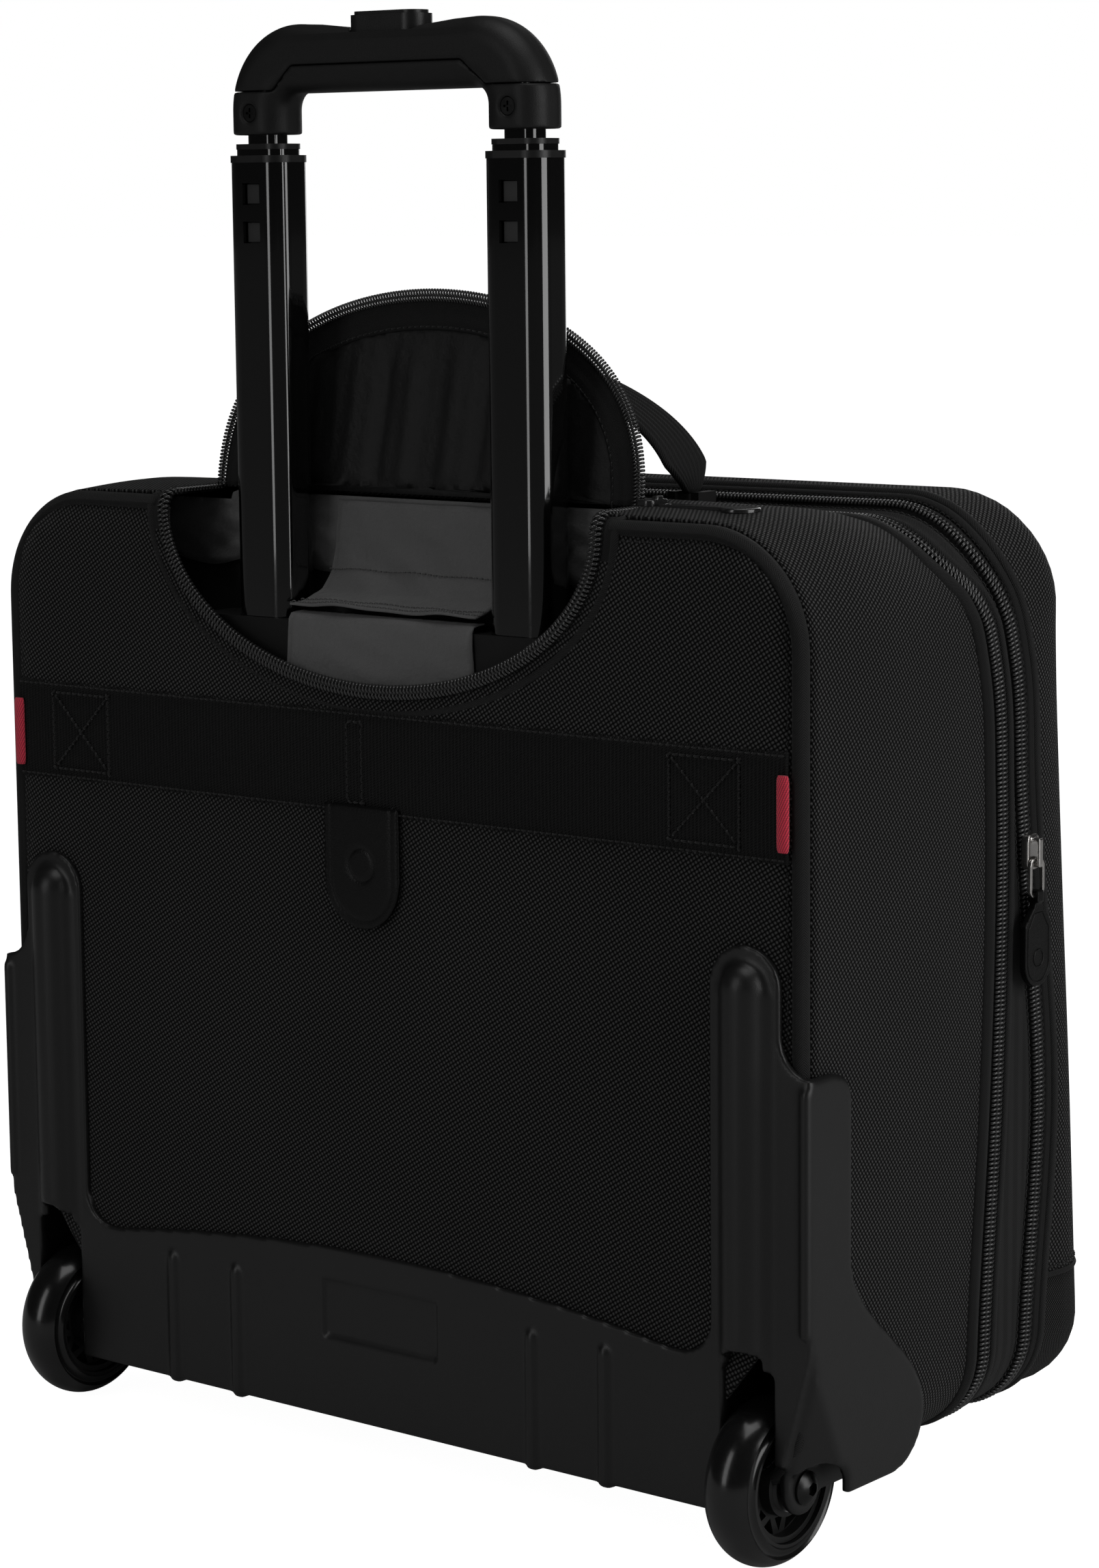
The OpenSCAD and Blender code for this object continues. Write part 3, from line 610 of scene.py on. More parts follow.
def moulded(name, dark, light, rough, grain=2600, depth=0.05 * MM, specular=0.45):
    """Moulded plastic: fine spark grain, faint cloudy colour and a few rubbed places."""
    n = Nodes(name)
    fine = n.noise(grain, 2)
    rubbed = n.noise(130, 5, 0.7)
    colour = n.tint(n.noise(16, 4), dark, light)
    roughness = n.blend(rubbed, rough - 0.08, rough + 0.08)
    return n.finish(colour, roughness, n.bump(fine, depth), specular=specular)


def gloss_paint(name, level, rough, coat=0.5):
    """Glossy paint with a faint ripple and some dust."""
    n = Nodes(name)
    ripple = n.noise(30, 2)
    dust = n.noise(900, 3)
    colour = n.tint(ripple, grey(level * 0.8), grey(level * 1.2))
    return n.finish(colour, n.blend(dust, rough * 0.7, rough * 1.5), n.bump(ripple, 0.02 * MM, 0.4),
                    specular=0.6, coat=coat, coat_rough=0.04)


def metal(name, level, rough, warm=0.0, scratch=300):
    """Brushed or plated metal with fine scratches."""
    n = Nodes(name)
    brushed = n.noise(scratch, 6, 0.7)
    colour = n.tint(brushed, grey(level * 0.82, warm), grey(level, warm))
    return n.finish(colour, n.blend(brushed, rough * 0.7, rough * 1.4),
                    n.bump(n.noise(scratch * 4, 3), 0.01 * MM, 0.5), metal=1.0)


def leather(name, dark, light):
    """Grained leather with small creases."""
    n = Nodes(name)
    grain = n.cells(1500)
    crease = n.noise(260, 5, 0.6)
    height = n.math("ADD", grain, n.times(crease, 0.8))
    bump = n.bump(height, 0.09 * MM, 0.8)
    return n.finish(n.tint(crease, dark, light), n.blend(grain, 0.3, 0.45), bump, specular=0.25)


def ribbed_twill(name, dark, light, pitch):
    """Twill with slanting ribs, for tags and thread, with painted shade between its ribs."""
    n = Nodes(name)
    u, v = n.uv()
    height = crossed_ribs(n, n.math("ADD", v, n.times(u, 0.5)), pitch, u, pitch * 0.7, 0.7)
    # painted shade: the colour follows rib height, dark between the ribs
    colour = n.tint(height, dark, light)
    return n.finish(colour, 0.65, n.bump(height, 0.25 * MM), sheen=0.2, specular=0.3)


def wheel_plastic(name, level, rough):
    """Poured wheel tread: glossy, with fine rolling scuffs round it."""
    n = Nodes(name)
    scuff = n.noise(420, 5, 0.7)
    colour = n.tint(n.noise(25, 3), grey(level * 0.8), grey(level * 1.3))
    return n.finish(colour, n.blend(scuff, rough * 0.6, rough * 1.6),
                    n.bump(scuff, 0.02 * MM, 0.4), specular=0.5, coat=0.25, coat_rough=0.1)


CLOTH = woven_cloth("ballistic_fabric", grey(0.0003), grey(0.095), 1.7 * MM, 0.8 * MM, BIAS)
CLOTH_FINE = woven_cloth("fine_fabric", grey(0.0003), grey(0.06), 1.0 * MM, 0.4 * MM, BIAS)
CORD = herringbone_tape("piping_fabric", grey(0.0008), grey(0.024), 1.0 * MM, 0.35 * MM, 3.4 * MM)
TAPE = herringbone_tape("zip_tape", grey(0.0008), grey(0.015), 0.8 * MM, 0.25 * MM, 2.6 * MM)
WEBBING = herringbone_tape("webbing", grey(0.0006), grey(0.012), 1.1 * MM, 0.3 * MM, 400 * MM, 0.62)
LINING_BLACK = satin("lining_black", grey(0.001), grey(0.005), 0.45, 0.03)
LINING_GREY = satin("lining_grey", grey(0.04), grey(0.125), 0.38, 0.25)
PLASTIC = moulded("moulded_black", grey(0.007), grey(0.0105), 0.38, 2600, 0.05 * MM, 0.5)
SOFT_TOUCH = moulded("soft_touch", grey(0.006), grey(0.009), 0.52, 1900, 0.07 * MM, 0.35)
HOUSING = moulded("inner_plastic", grey(0.003), grey(0.005), 0.6, 2600, 0.05 * MM, 0.3)
BLOCKS = moulded("latch_plastic", grey(0.03), grey(0.045), 0.4)
BOARD = moulded("board", grey(0.02), grey(0.03), 0.8, 700, 0.2 * MM, 0.2)
PAINT = gloss_paint("gloss_tube", 0.002, 0.09, 1.0)
COIL = gloss_paint("coil", 0.022, 0.24)
NICKEL = metal("nickel", 0.72, 0.22, 0.03)
STEEL = metal("steel", 0.6, 0.3)
DARK_METAL = gloss_paint("zip_black_metal", 0.012, 0.22)
DARK_STEEL = metal("black_steel", 0.05, 0.3)
LEATHER = leather("leather_black", grey(0.0015), grey(0.004))
RED_TWILL = ribbed_twill("red_twill", (0.14, 0.004, 0.012), (0.9, 0.05, 0.1), 1.1 * MM)
THREAD = ribbed_twill("thread", grey(0.004), grey(0.02), 0.4 * MM)
TREAD = wheel_plastic("wheel_pu", 0.006, 0.2)
HUB_PLASTIC = moulded("hub_plastic", grey(0.010), grey(0.016), 0.38)


# ---- zips, stitches and cords ----

def tooth(side, width, height, thick, slant):
    """One coil loop, from just over the middle of the zip out to its tape: along, across,
    out."""
    line = np.array([[-0.07, 0.2], [0.0, 0.8], [0.2, 1.0], [0.4, 0.78], [0.5, 0.1]])
    line = line * np.array([width, height])
    turn = np.gradient(line, axis=0)
    out = columns(0, -turn[:, 1], turn[:, 0])
    centre = columns(slant * line[:, 0], line[:, 0], line[:, 1])
    verts, faces = sweep(centre, out, round_profile(thick / 2, 6))
    verts[:, 1] *= side
    if side < 0:
        faces = [f[::-1] for f in faces]
    return verts, faces


def stamp(name, path, shapes, pitch, closed=False):
    """Copies of small shapes along a path of rows x, y, z, out x, out y, out z. Each shape
    is (points, faces, how far along its first copy sits)."""
    rows = resample(path, pitch, closed)
    along, across, out = frames_along(rows[:, :3], rows[:, 3:], closed)
    parts = []
    for verts, faces, shift in shapes:
        base = rows[:, :3] + along * shift
        placed = (
            base[:, None, :]
            + verts[None, :, :1] * along[:, None, :]
            + verts[None, :, 1:2] * across[:, None, :]
            + verts[None, :, 2:] * out[:, None, :]
        )
        starts = [k * len(verts) for k in range(len(rows))]
        copies = [tuple(v + start for v in f) for start in starts for f in faces]
        parts.append((placed.reshape(-1, 3), copies))
    return joined(name, parts)


def coil_zip(name, path, pitch, width, height, closed=False):
    """Coil teeth along a path, half a pitch apart on its two sides."""
    shapes = []
    for k, side in enumerate((-1, 1)):
        verts, faces = tooth(side, width, height, pitch * 0.78, 0.25 * side)
        shapes.append((verts, faces, k * pitch / 2))
    return stamp(name, path, shapes, pitch, closed)


def sew(name, path, pitch=3.2 * MM, length=2.3 * MM, radius=0.32 * MM,
        material=THREAD, body="case"):
    """Thread showing as short dashes that dip into the cloth at both ends."""
    reach = np.linspace(-0.5, 0.5, 5) * length
    lift = radius * np.array([-1.0, 0.3, 0.6, 0.3, -1.0])
    dash, faces = sweep(columns(reach, 0, lift), (0, 0, 1), round_profile(radius, 6))
    dress(stamp(name, path, [(dash, faces, 0.0)], pitch), material, body)


def skin_line(line_y, shift, lift, step=3 * MM):
    """A closed line on the case's skin beside a zip, with the directions out of it."""
    path, _ = case_path(step)
    path = path[:-1]
    points = on_skin(path, line_y(path) + shift, lift)
    return facing(points, columns(path[:, 2], 0, path[:, 3]))


def ridge(name, line_y, shift, radius, squash, material, lift=0.0):
    """A cord or rolled edge round the case beside a zip."""
    profile = round_profile(radius, 14, squash)
    piece = tube_piece(name, skin_line(line_y, shift, lift), profile, closed=True)
    return dress(piece, material)


def straight_rows(points, count=40):
    """Rows along straight lines between points on the back of the case."""
    points = np.asarray(points, float)
    rows = [np.linspace(a, b, count)[:-1] for a, b in zip(points[:-1], points[1:])]
    return facing(np.concatenate(rows + [points[-1:]]), TO_BACK)


# ---- soft case ----

def over_opening(centre):
    """True where the top of the case is open over the handle."""
    return abs(centre[0]) < OPEN_HALF + 2 * MM and centre[1] > HINGE_Y and centre[2] > TOP - 20 * MM


def in_wheel_well(centre):
    """True where the moulded base takes the cloth's place: under and beside a wheel."""
    under = centre[2] < tyre_hi.z - 10 * MM and centre[1] > WELL_Y
    beside = centre[2] < tyre_hi.z + 20 * MM and centre[1] > WELL_Y + 20 * MM
    return abs(centre[0]) > WELL_X and (under or beside)


def rear_gusset():
    """Soft cloth between the back's edge and the main zip."""
    piece = ring_strip(
        "rear_gusset_cloth",
        lambda path: np.full(len(path), BACK_Y - 5 * MM),
        lambda path: main_zip_y(path) + 9 * MM,
        24,
        keep=lambda c: not over_opening(c) and not in_wheel_well(c),
    )
    thicken(piece, CLOTH_THICK)
    dress(piece, CLOTH, replaces=("rear_gusset",))


def zip_band(name, line_y, rear_shift, front_shift):
    """A zip round the case: its tape, its coil, and a stitched seam to each side."""
    tape = ring_strip(
        name + "_tape",
        lambda path: line_y(path) + 7 * MM,
        lambda path: line_y(path) - 7 * MM,
        4, lift=lambda t: -0.5 * MM,
    )
    thicken(tape, 0.8 * MM)
    dress(tape, TAPE)
    coil_line = skin_line(line_y, 0.0, -0.4 * MM)
    coil = coil_zip(name + "_coil", coil_line, 1.9 * MM, 7.4 * MM, 2.0 * MM, closed=True)
    dress(coil, COIL, replaces=(name,))
    for side, shift in (("rear", rear_shift), ("front", front_shift)):
        seam = skin_line(line_y, shift, 0.1 * MM)
        sew(f"{name}_stitches_{side}", seam, 3.0 * MM, 2.2 * MM)


def centre_panel():
    """The narrow strip between the two zips."""
    piece = ring_strip(
        "centre_panel_cloth",
        lambda path: main_zip_y(path) - 6 * MM,
        lambda path: front_zip_y(path) + 6 * MM,
        6, lift=lambda t: 0.2 * MM * math.sin(math.pi * t),
    )
    thicken(piece, 1.0 * MM)
    dress(piece, CORD, replaces=("centre_panel",))


LOW_SEAM_Z = 86 * MM


def front_plane(z):
    """The leaning front of the case."""
    lean = 0.067
    return FRONT_Y + lean * np.maximum(z - 67 * MM, -10 * MM)


def low_seam(rows):
    """Cord and stitches where the finer cloth of the base starts, on both sides."""
    for side in (-1, 1):
        beside = rows[:, (side * rows[0, :, 0] > HALF_W * 0.8)]
        nearest = np.argmin(np.abs(beside[:, :, 2] - LOW_SEAM_Z), axis=1)
        line = beside[np.arange(len(beside)), nearest]
        line[:, 2] = LOW_SEAM_Z
        out = np.array([side, 0.0, 0.0])
        lifted = resample(facing(line + 0.2 * MM * out, out), 2 * MM)
        cord = tube_piece(f"low_seam_cord_{side + 1}", lifted, round_profile(1.3 * MM, 10, 0.6))
        dress(cord, CORD)
        lifted[:, 2] += 3.2 * MM
        sew(f"low_seam_stitches_{side + 1}", lifted, 3.0 * MM)


def front_shell():
    """The front compartment: round the sides, over a soft edge and across the front."""
    round_r = 31 * MM
    path, at = case_path(RING_STEP)
    start = front_zip_y(path) - 9 * MM
    end = front_plane(path[:, 1]) + round_r
    rows, uvs = [], []
    for t in np.linspace(0, 1, 8)[:-1]:
        y = start + (end - start) * t
        rows.append(on_skin(path, y))
        uvs.append(columns(at, y))
    for turn in arc(0, 90, 10):
        inset = round_r * (1 - math.cos(turn))
        y = front_plane(path[:, 1] - path[:, 3] * inset) + round_r * (1 - math.sin(turn))
        rows.append(off_path(path, y, swell(path, y) * math.cos(turn) ** 0.5 - inset))
        uvs.append(columns(at, end - round_r * turn))
    rows, uvs = np.array(rows), np.array(uvs)
    above = (rows[:-1, :-1, 2] + rows[1:, 1:, 2]) / 2 > LOW_SEAM_Z
    for name, material, keep, replaces in (
        ("front_shell_cloth", CLOTH, above, ("front_shell",)),
        ("front_shell_base_cloth", CLOTH_FINE, ~above, ()),
    ):
        piece = grid_piece(name, rows, uvs, lambda r, c: keep[r, c])
        thicken(piece, CLOTH_THICK)
        dress(piece, material, replaces=replaces)
    low_seam(rows)
    front_face(rows[-1][:-1])


def front_face(edge):
    """Cloth across the front, a little fuller in the middle than at its edge."""
    centre_z = (edge[:, 2].min() + edge[:, 2].max()) / 2
    half_z = edge[:, 2].max() - centre_z

    def place(u, v):
        pillow = np.cos(np.clip(u / HALF_W, -1, 1) * 1.5)
        pillow = pillow * np.cos(np.clip((v - centre_z) / half_z, -1, 1) * 1.5)
        y = front_plane(v) - 1.5 * MM * pillow + 0.6 * MM * wobble(u, v) * pillow
        return columns(u, y, v)

    face = sheet_piece("front_face_cloth", edge[:, [0, 2]], 9 * MM, place)
    thicken(face, CLOTH_THICK)
    dress(face, CLOTH)


def back_outline(inset):
    """The back panel's edge: round the case, past the wheels and down round the opening."""
    path, _ = case_path(5 * MM, inset)
    path = path[:-1]
    beside_wheel = (np.abs(path[:, 0]) > WELL_X) & (path[:, 1] < tyre_hi.z + 40 * MM)
    keep = (np.abs(path[:, 0]) > OPEN_HALF) | (path[:, 1] < (FLOOR + TOP) / 2)
    keep = keep & ~beside_wheel
    right = path[keep & (path[:, 0] >= 0)]
    left = path[keep & (path[:, 0] < 0)]
    turn = arc(0, 180, 49)
    depth = TOP - OPEN_LOW - inset
    notch = columns(OPEN_HALF * np.cos(turn), TOP - inset - depth * np.sin(turn))
    return np.concatenate([right[:, :2], notch, left[:, :2]])


def back_panel():
    """The flat cloth back, sunk a little beside its piping."""
    def place(u, v):
        edge = np.minimum(HALF_W - np.abs(u), np.minimum(v - FLOOR, TOP - v))
        sink = 1.6 * MM * np.exp(-((edge - 5 * MM) / (6 * MM)) ** 2)
        return columns(u, BACK_Y - 0.4 * MM - sink + 0.25 * MM * wobble(u, v), v)

    piece = sheet_piece("back_panel_cloth", back_outline(5 * MM), 8 * MM, place)
    thicken(piece, CLOTH_THICK)
    dress(piece, CLOTH, replaces=("back_panel",))


def piping():
    """Cloth-covered cord along the edge of the back, ending at the opening."""
    path, _ = case_path(3 * MM, 3.2 * MM)
    in_opening = (path[:, 1] > (FLOOR + TOP) / 2) & (np.abs(path[:, 0]) < OPEN_HALF + 4 * MM)
    order = np.where(~in_opening)[0]
    split = np.where(np.diff(order) > 1)[0][0] + 1
    run = path[np.concatenate([order[split:], order[:split]])]
    cord_y = BACK_Y - 2.6 * MM
    rows = facing(off_path(run, cord_y, 0.0), columns(run[:, 2], 0, run[:, 3]))
    cord = tube_piece("edge_piping_cord", rows, round_profile(3.5 * MM, 14))
    dress(cord, CORD, replaces=("edge_piping",))
    inner = off_path(run, cord_y + 2.4 * MM, -4.6 * MM)
    sew("piping_stitches", facing(inner, TO_BACK), 3.4 * MM)


def opening_line(grow):
    """Up over the rim, down round the opening and up again, with the directions out."""
    half = OPEN_HALF + grow
    rim_r, lift = 5 * MM, 0.6 * MM
    depth = TOP - rim_r - OPEN_LOW + grow
    rim = [(half, y, TOP + lift, 0, 0, 1) for y in np.linspace(HINGE_Y + 3 * MM, BACK_Y - rim_r, 8)]
    for a in arc(10, 80, 6):
        y = BACK_Y - rim_r + rim_r * math.sin(a)
        rim.append((half, y, TOP - rim_r + (rim_r + lift) * math.cos(a), 0, math.sin(a), math.cos(a)))
    bow = [
        (half * math.cos(a), BACK_Y + 0.4 * MM, TOP - rim_r - depth * math.sin(a), 0, 1, 0)
        for a in arc(0, 180, 61)
    ]
    other_rim = [(-x, *rest) for x, *rest in reversed(rim)]
    return resample(rim + bow + other_rim, 2.5 * MM)


def opening_zip():
    """The flap zip's other half, round the edge of the opening, and the fold beside it."""
    tape = tube_piece("opening_zip_tape", opening_line(4.5 * MM), strap_profile(10 * MM, 0.9 * MM))
    dress(tape, TAPE)
    fold_profile = round_profile(2.0 * MM, 12, 0.5)
    fold = tube_piece("opening_edge_fold", opening_line(9.5 * MM), fold_profile)
    dress(fold, CORD)
    teeth_line = opening_line(0.8 * MM)
    teeth_line[:, :3] += teeth_line[:, 3:] * 0.5 * MM
    coil = coil_zip("opening_zip_coil", teeth_line, 1.9 * MM, 5.6 * MM, 2.0 * MM)
    dress(coil, COIL, replaces=("opening_zip",))


rear_gusset()
zip_band("main_zip", main_zip_y, 5.4 * MM, -5.6 * MM)
zip_band("front_zip", front_zip_y, 5.6 * MM, -5.6 * MM)
ridge("main_zip_rear_roll", main_zip_y, 9.5 * MM, 4.0 * MM, 0.6, TAPE, -0.4 * MM)
ridge("main_zip_front_binding", main_zip_y, -7.2 * MM, 2.0 * MM, 0.7, CORD, 0.2 * MM)
ridge("front_zip_front_roll", front_zip_y, -8.2 * MM, 2.6 * MM, 0.6, TAPE, -0.2 * MM)
ridge("front_binding", front_zip_y, -12.4 * MM, 2.4 * MM, 0.8, CORD, 0.2 * MM)
centre_panel()
front_shell()
back_panel()
piping()
opening_zip()


# ---- straps, tags and tab on the back ----


def webbing_band():
    """Ribbed band across the back, with box stitching near its ends and in the middle."""
    lo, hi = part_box("webbing_band")
    ribs = 224
    x = np.linspace(lo.x + 2 * MM, hi.x - 2 * MM, ribs * 6 + 1)
    rib = 0.34 * MM * np.cos(2 * math.pi * ribs * (x - x[0]) / (x[-1] - x[0]))
    rows, uvs = [], []
    for z, share in zip(np.linspace(lo.z, hi.z, 11), np.linspace(-1, 1, 11)):
        edge = 0.9 * MM * abs(share) ** 8
        rows.append(columns(x, hi.y + 0.2 * MM + rib - edge + 0.3 * MM * wobble(x, z), z))
        uvs.append(columns(x, z))
    band = grid_piece("webbing_band_ribbed", np.array(rows), np.array(uvs), flip=True)
    thicken(band, 1.2 * MM)
    dress(band, WEBBING, replaces=("webbing_band",))
    face_y = hi.y + 0.75 * MM
    middle = (lo.z + hi.z) / 2
    z0, z1 = middle - 17 * MM, middle + 17 * MM
    boxes = ((172 * MM, 17 * MM, True), (-172 * MM, 17 * MM, True), (10 * MM, 4 * MM, False))
    for k, (centre, half, crossed) in enumerate(boxes):
        x0, x1 = centre - half, centre + half
        corners = [(x0, z0), (x0, z1), (x1, z1), (x1, z0), (x0, z0)]
        if crossed:
            corners += [(x1, z1), (x1, z0), (x0, z1)]
        line = straight_rows([(x, face_y, z) for x, z in corners])
        sew(f"band_stitches_{k}", line, 3.4 * MM, 2.5 * MM, 0.42 * MM)
    for k, z in enumerate((lo.z + 1.6 * MM, hi.z - 1.6 * MM)):
        ends = [(lo.x + 4 * MM, face_y, z), (hi.x - 4 * MM, face_y, z)]
        sew(f"band_edge_stitches_{k}", straight_rows(ends, 200))


def band_tags():
    """Small red loops sewn into the ends of the band."""
    lo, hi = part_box("band_tags")
    t = np.linspace(-0.5, 0.5, 120)
    scale = 1 - 0.25 * np.abs(2 * t) ** 14 + 0.02 * np.cos(t * 30 * math.pi * 2)
    for side, name in ((1, "left"), (-1, "right")):
        x, z = side * (hi.x - 2.5 * MM), (lo.z + hi.z) / 2
        line = columns(x, hi.y - 0.1 * MM, z + 30 * MM * t)
        profile = round_profile(2.9 * MM, 16, 0.5)
        tag = tube_piece(f"band_tag_{name}", facing(line, TO_BACK), profile, scale=scale)
        dress(tag, RED_TWILL, replaces=("band_tags",))


def tab_outline(lo, hi, inset=0.0):
    """A round-ended tab that hangs from the band."""
    r = (hi.x - lo.x) / 2
    middle = (lo.x + hi.x) / 2
    turn = arc(180, 360, 37)
    curve = columns(middle + (r - inset) * np.cos(turn), lo.z + r + (r - inset) * np.sin(turn))
    high = hi.z + 4 * MM
    return np.concatenate([[(lo.x + inset, high)], curve, [(hi.x - inset, high)]])


def leather_tab():
    """Leather tab with a stitched, pressed border and a plain pressed ring."""
    lo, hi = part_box("leather_tab")
    r = (hi.x - lo.x) / 2
    centre = ((lo.x + hi.x) / 2, lo.z + 27 * MM)
    outline = tab_outline(lo, hi)
    middle = (outline.min(0) + outline.max(0)) / 2
    reach = (outline.max(0) - outline.min(0)) / 2

    def place(u, v):
        below = np.minimum(v - (lo.z + r), 0)
        rim = r - np.sqrt((u - centre[0]) ** 2 + below**2)
        groove = -0.45 * MM * np.exp(-((rim - 3.4 * MM) / (0.7 * MM)) ** 2)
        ring = np.sqrt((u - centre[0]) ** 2 + (v - centre[1]) ** 2)
        pressed = -0.6 * MM * np.exp(-((ring - 7.0 * MM) / (0.9 * MM)) ** 2)
        crown = 0.7 * MM * cushion(u, v, middle, reach) ** 0.3
        return columns(u, hi.y - 0.4 * MM + crown + groove + pressed, v)

    spacing = 1.1 * MM
    edge = resample(outline, spacing, closed=True)
    piece = sheet_piece("leather_tab_pressed", edge, spacing, place)
    thicken(piece, 1.8 * MM)
    dress(piece, LEATHER, replaces=("leather_tab",))
    inner = tab_outline(lo, hi, 3.4 * MM)
    seam = facing(columns(inner[:, 0], hi.y + 0.05 * MM, inner[:, 1]), TO_BACK)
    sew("tab_stitches", resample(seam, 1 * MM), 2.8 * MM, 2.0 * MM, 0.3 * MM)


# ---- hard parts with their edges softened ----

def softened(node, name, voxel, rounds, share, shape=None, extra=()):
    """A copy of a CAD node with soft edges, made by remeshing and smoothing. shape() may
    move its points, and extra (points, faces) melt into it."""
    whole = bmesh.new()
    whole.from_mesh(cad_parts[node].data)
    for verts, faces in extra:
        made = [whole.verts.new(v) for v in verts]
        for f in faces:
            whole.faces.new([made[k] for k in f])
    bmesh.ops.remove_doubles(whole, verts=whole.verts, dist=1e-6)
    bmesh.ops.recalc_face_normals(whole, faces=whole.faces)
    mesh = bpy.data.meshes.new(name)
    whole.to_mesh(mesh)
    whole.free()
    mesh.materials.clear()
    piece = link(name, mesh)
    remesh = piece.modifiers.new("remesh", "REMESH")
    remesh.mode = "VOXEL"
    remesh.voxel_size = voxel
    ease = piece.modifiers.new("ease", "SMOOTH")
    ease.factor = 0.5
    ease.iterations = rounds
    thin = piece.modifiers.new("thin", "DECIMATE")
    thin.ratio = share
    bpy.context.view_layer.update()
    graph = bpy.context.evaluated_depsgraph_get()
    final = bpy.data.meshes.new_from_object(piece.evaluated_get(graph))
    piece.modifiers.clear()
    piece.data = final
    final.name = name
    if shape is not None:
        co = np.zeros(len(final.vertices) * 3, np.float32)
        final.vertices.foreach_get("co", co)
        co = shape(co.reshape(-1, 3).astype(float))
        final.vertices.foreach_set("co", co.astype(np.float32).ravel())
    final.polygons.foreach_set("use_smooth", [True] * len(final.polygons))
    final.update()
    return piece


def upright_roll(x, y, low, high, radius):
    """Points and faces of an upright rounded ridge on the back."""
    run = resample([(x, y, low), (x, y, high)], 2 * MM)
    return sweep(run, TO_BACK, round_profile(radius, 12))


def rear_bumper():
    """The moulded base, with a raised rim down each outer corner and soft webs beside the
    rails."""
    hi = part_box("rear_bumper")[1]
    skin_y = BACK_Y + 4 * MM
    rail_x, web_gap = 192 * MM, 10.6 * MM
    extra = []
    for side in (-1, 1):
        corner_x = side * (hi.x - 2.4 * MM)
        extra.append(upright_roll(corner_x, skin_y, 101 * MM, 200 * MM, 2.3 * MM))
        for web_side in (-1, 1):
            web_x = side * rail_x + web_side * web_gap
            extra.append(upright_roll(web_x, skin_y - 0.9 * MM, 84 * MM, 236 * MM, 2.4 * MM))

    def shape(co):
        """Presses in the blank label field on the kick plate."""
        across = smooth(33 * MM, 31 * MM, np.abs(co[:, 0]))
        up = smooth(13.5 * MM, 11.5 * MM, np.abs(co[:, 2] - 70.5 * MM))
        co[:, 1] -= 0.9 * MM * across * up * (co[:, 1] > BACK_Y + 2 * MM)
        return co

    piece = softened("rear_bumper", "rear_bumper_moulded", 1.35 * MM, 4, 0.5, shape, extra)
    dress(piece, PLASTIC, replaces=("rear_bumper",))


def grip():
    """Grip halves with a shallow saddle round the button and fuller outer corners."""
    lo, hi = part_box("grip_upper")
    middle_y = (lo.y + hi.y) / 2

    def shape(co):
        dip = 2.6 * MM * np.exp(-(co[:, 0] / (34 * MM)) ** 4)
        top = smooth(hi.z - 9 * MM, hi.z - 1 * MM, co[:, 2])
        co[:, 2] -= dip * top * (np.abs(co[:, 1] - middle_y) < 30 * MM)
        return co

    for half in ("upper", "lower"):
        piece = softened(f"grip_{half}", f"grip_{half}_soft", 0.8 * MM, 4, 0.35, shape)
        dress(piece, SOFT_TOUCH, "grip", (f"grip_{half}",))


webbing_band()
band_tags()
leather_tab()
rear_bumper()
grip()


# ---- the opening flap ----

LEAN = math.radians(6.7)
FLAP_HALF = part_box("flap")[1].x
FLAP_HIGH = (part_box("flap")[1].z - HINGE_Z) / math.cos(LEAN)


def on_flap(across, up, out=0.0):
    """Places in the open flap: across, up from its hinge line, and out to the back."""
    out = np.zeros_like(up) + out
    y = HINGE_Y - up * math.sin(LEAN) + out * math.cos(LEAN)
    z = HINGE_Z + up * math.cos(LEAN) + out * math.sin(LEAN)
    return np.stack([across, y, z], 1)


FLAP_OUT = np.array([0.0, math.cos(LEAN), math.sin(LEAN)])


def along_flap(edge, out):
    """Rows along an edge in the flap's plane, a distance out from it."""
    return facing(on_flap(edge[:, 0], edge[:, 1], out), FLAP_OUT)


def flap_edge(grow):
    """The flap's rounded edge, from one end of the hinge line over the top to the other."""
    low = 1.5 * MM
    turn = arc(0, 180, 121)
    x = (FLAP_HALF + grow) * np.cos(turn)
    z = (FLAP_HIGH + grow) * np.sin(turn) ** 0.8
    return columns(x, np.maximum(z, low))


def flap_folds(u, v):
    """Soft upright folds of the lining, dying out towards its sewn edge."""
    reach = np.clip(1 - (np.abs(u) / (FLAP_HALF - 8 * MM)) ** 3, 0, 1) * np.clip(v / (8 * MM), 0, 1)
    drift = u + 2 * MM * np.sin(v * 25) + 0.06 * v
    fold = np.abs(np.sin(drift * math.pi / (27 * MM))) ** 1.6
    fold = fold + 0.2 * np.sin(drift * 2 * math.pi / (11 * MM) + 1.3)
    near_top = np.clip((FLAP_HIGH - 11 * MM - v) / (18 * MM), 0, 1)
    gather = 0.5 * np.sin(u * 2 * math.pi / (7 * MM)) * (1 - near_top)
    return (2.6 * MM * fold * near_top + 0.6 * MM * gather + 0.4 * MM) * reach


def flap_bow(u, v):
    """How far the flap's outer cloth bows out in its middle."""
    rise = np.sin(np.clip(v / FLAP_HIGH, 0, 1) * 3.1)
    return 0.6 * MM * np.clip(1 - (u / FLAP_HALF) ** 2, 0, 1) * rise


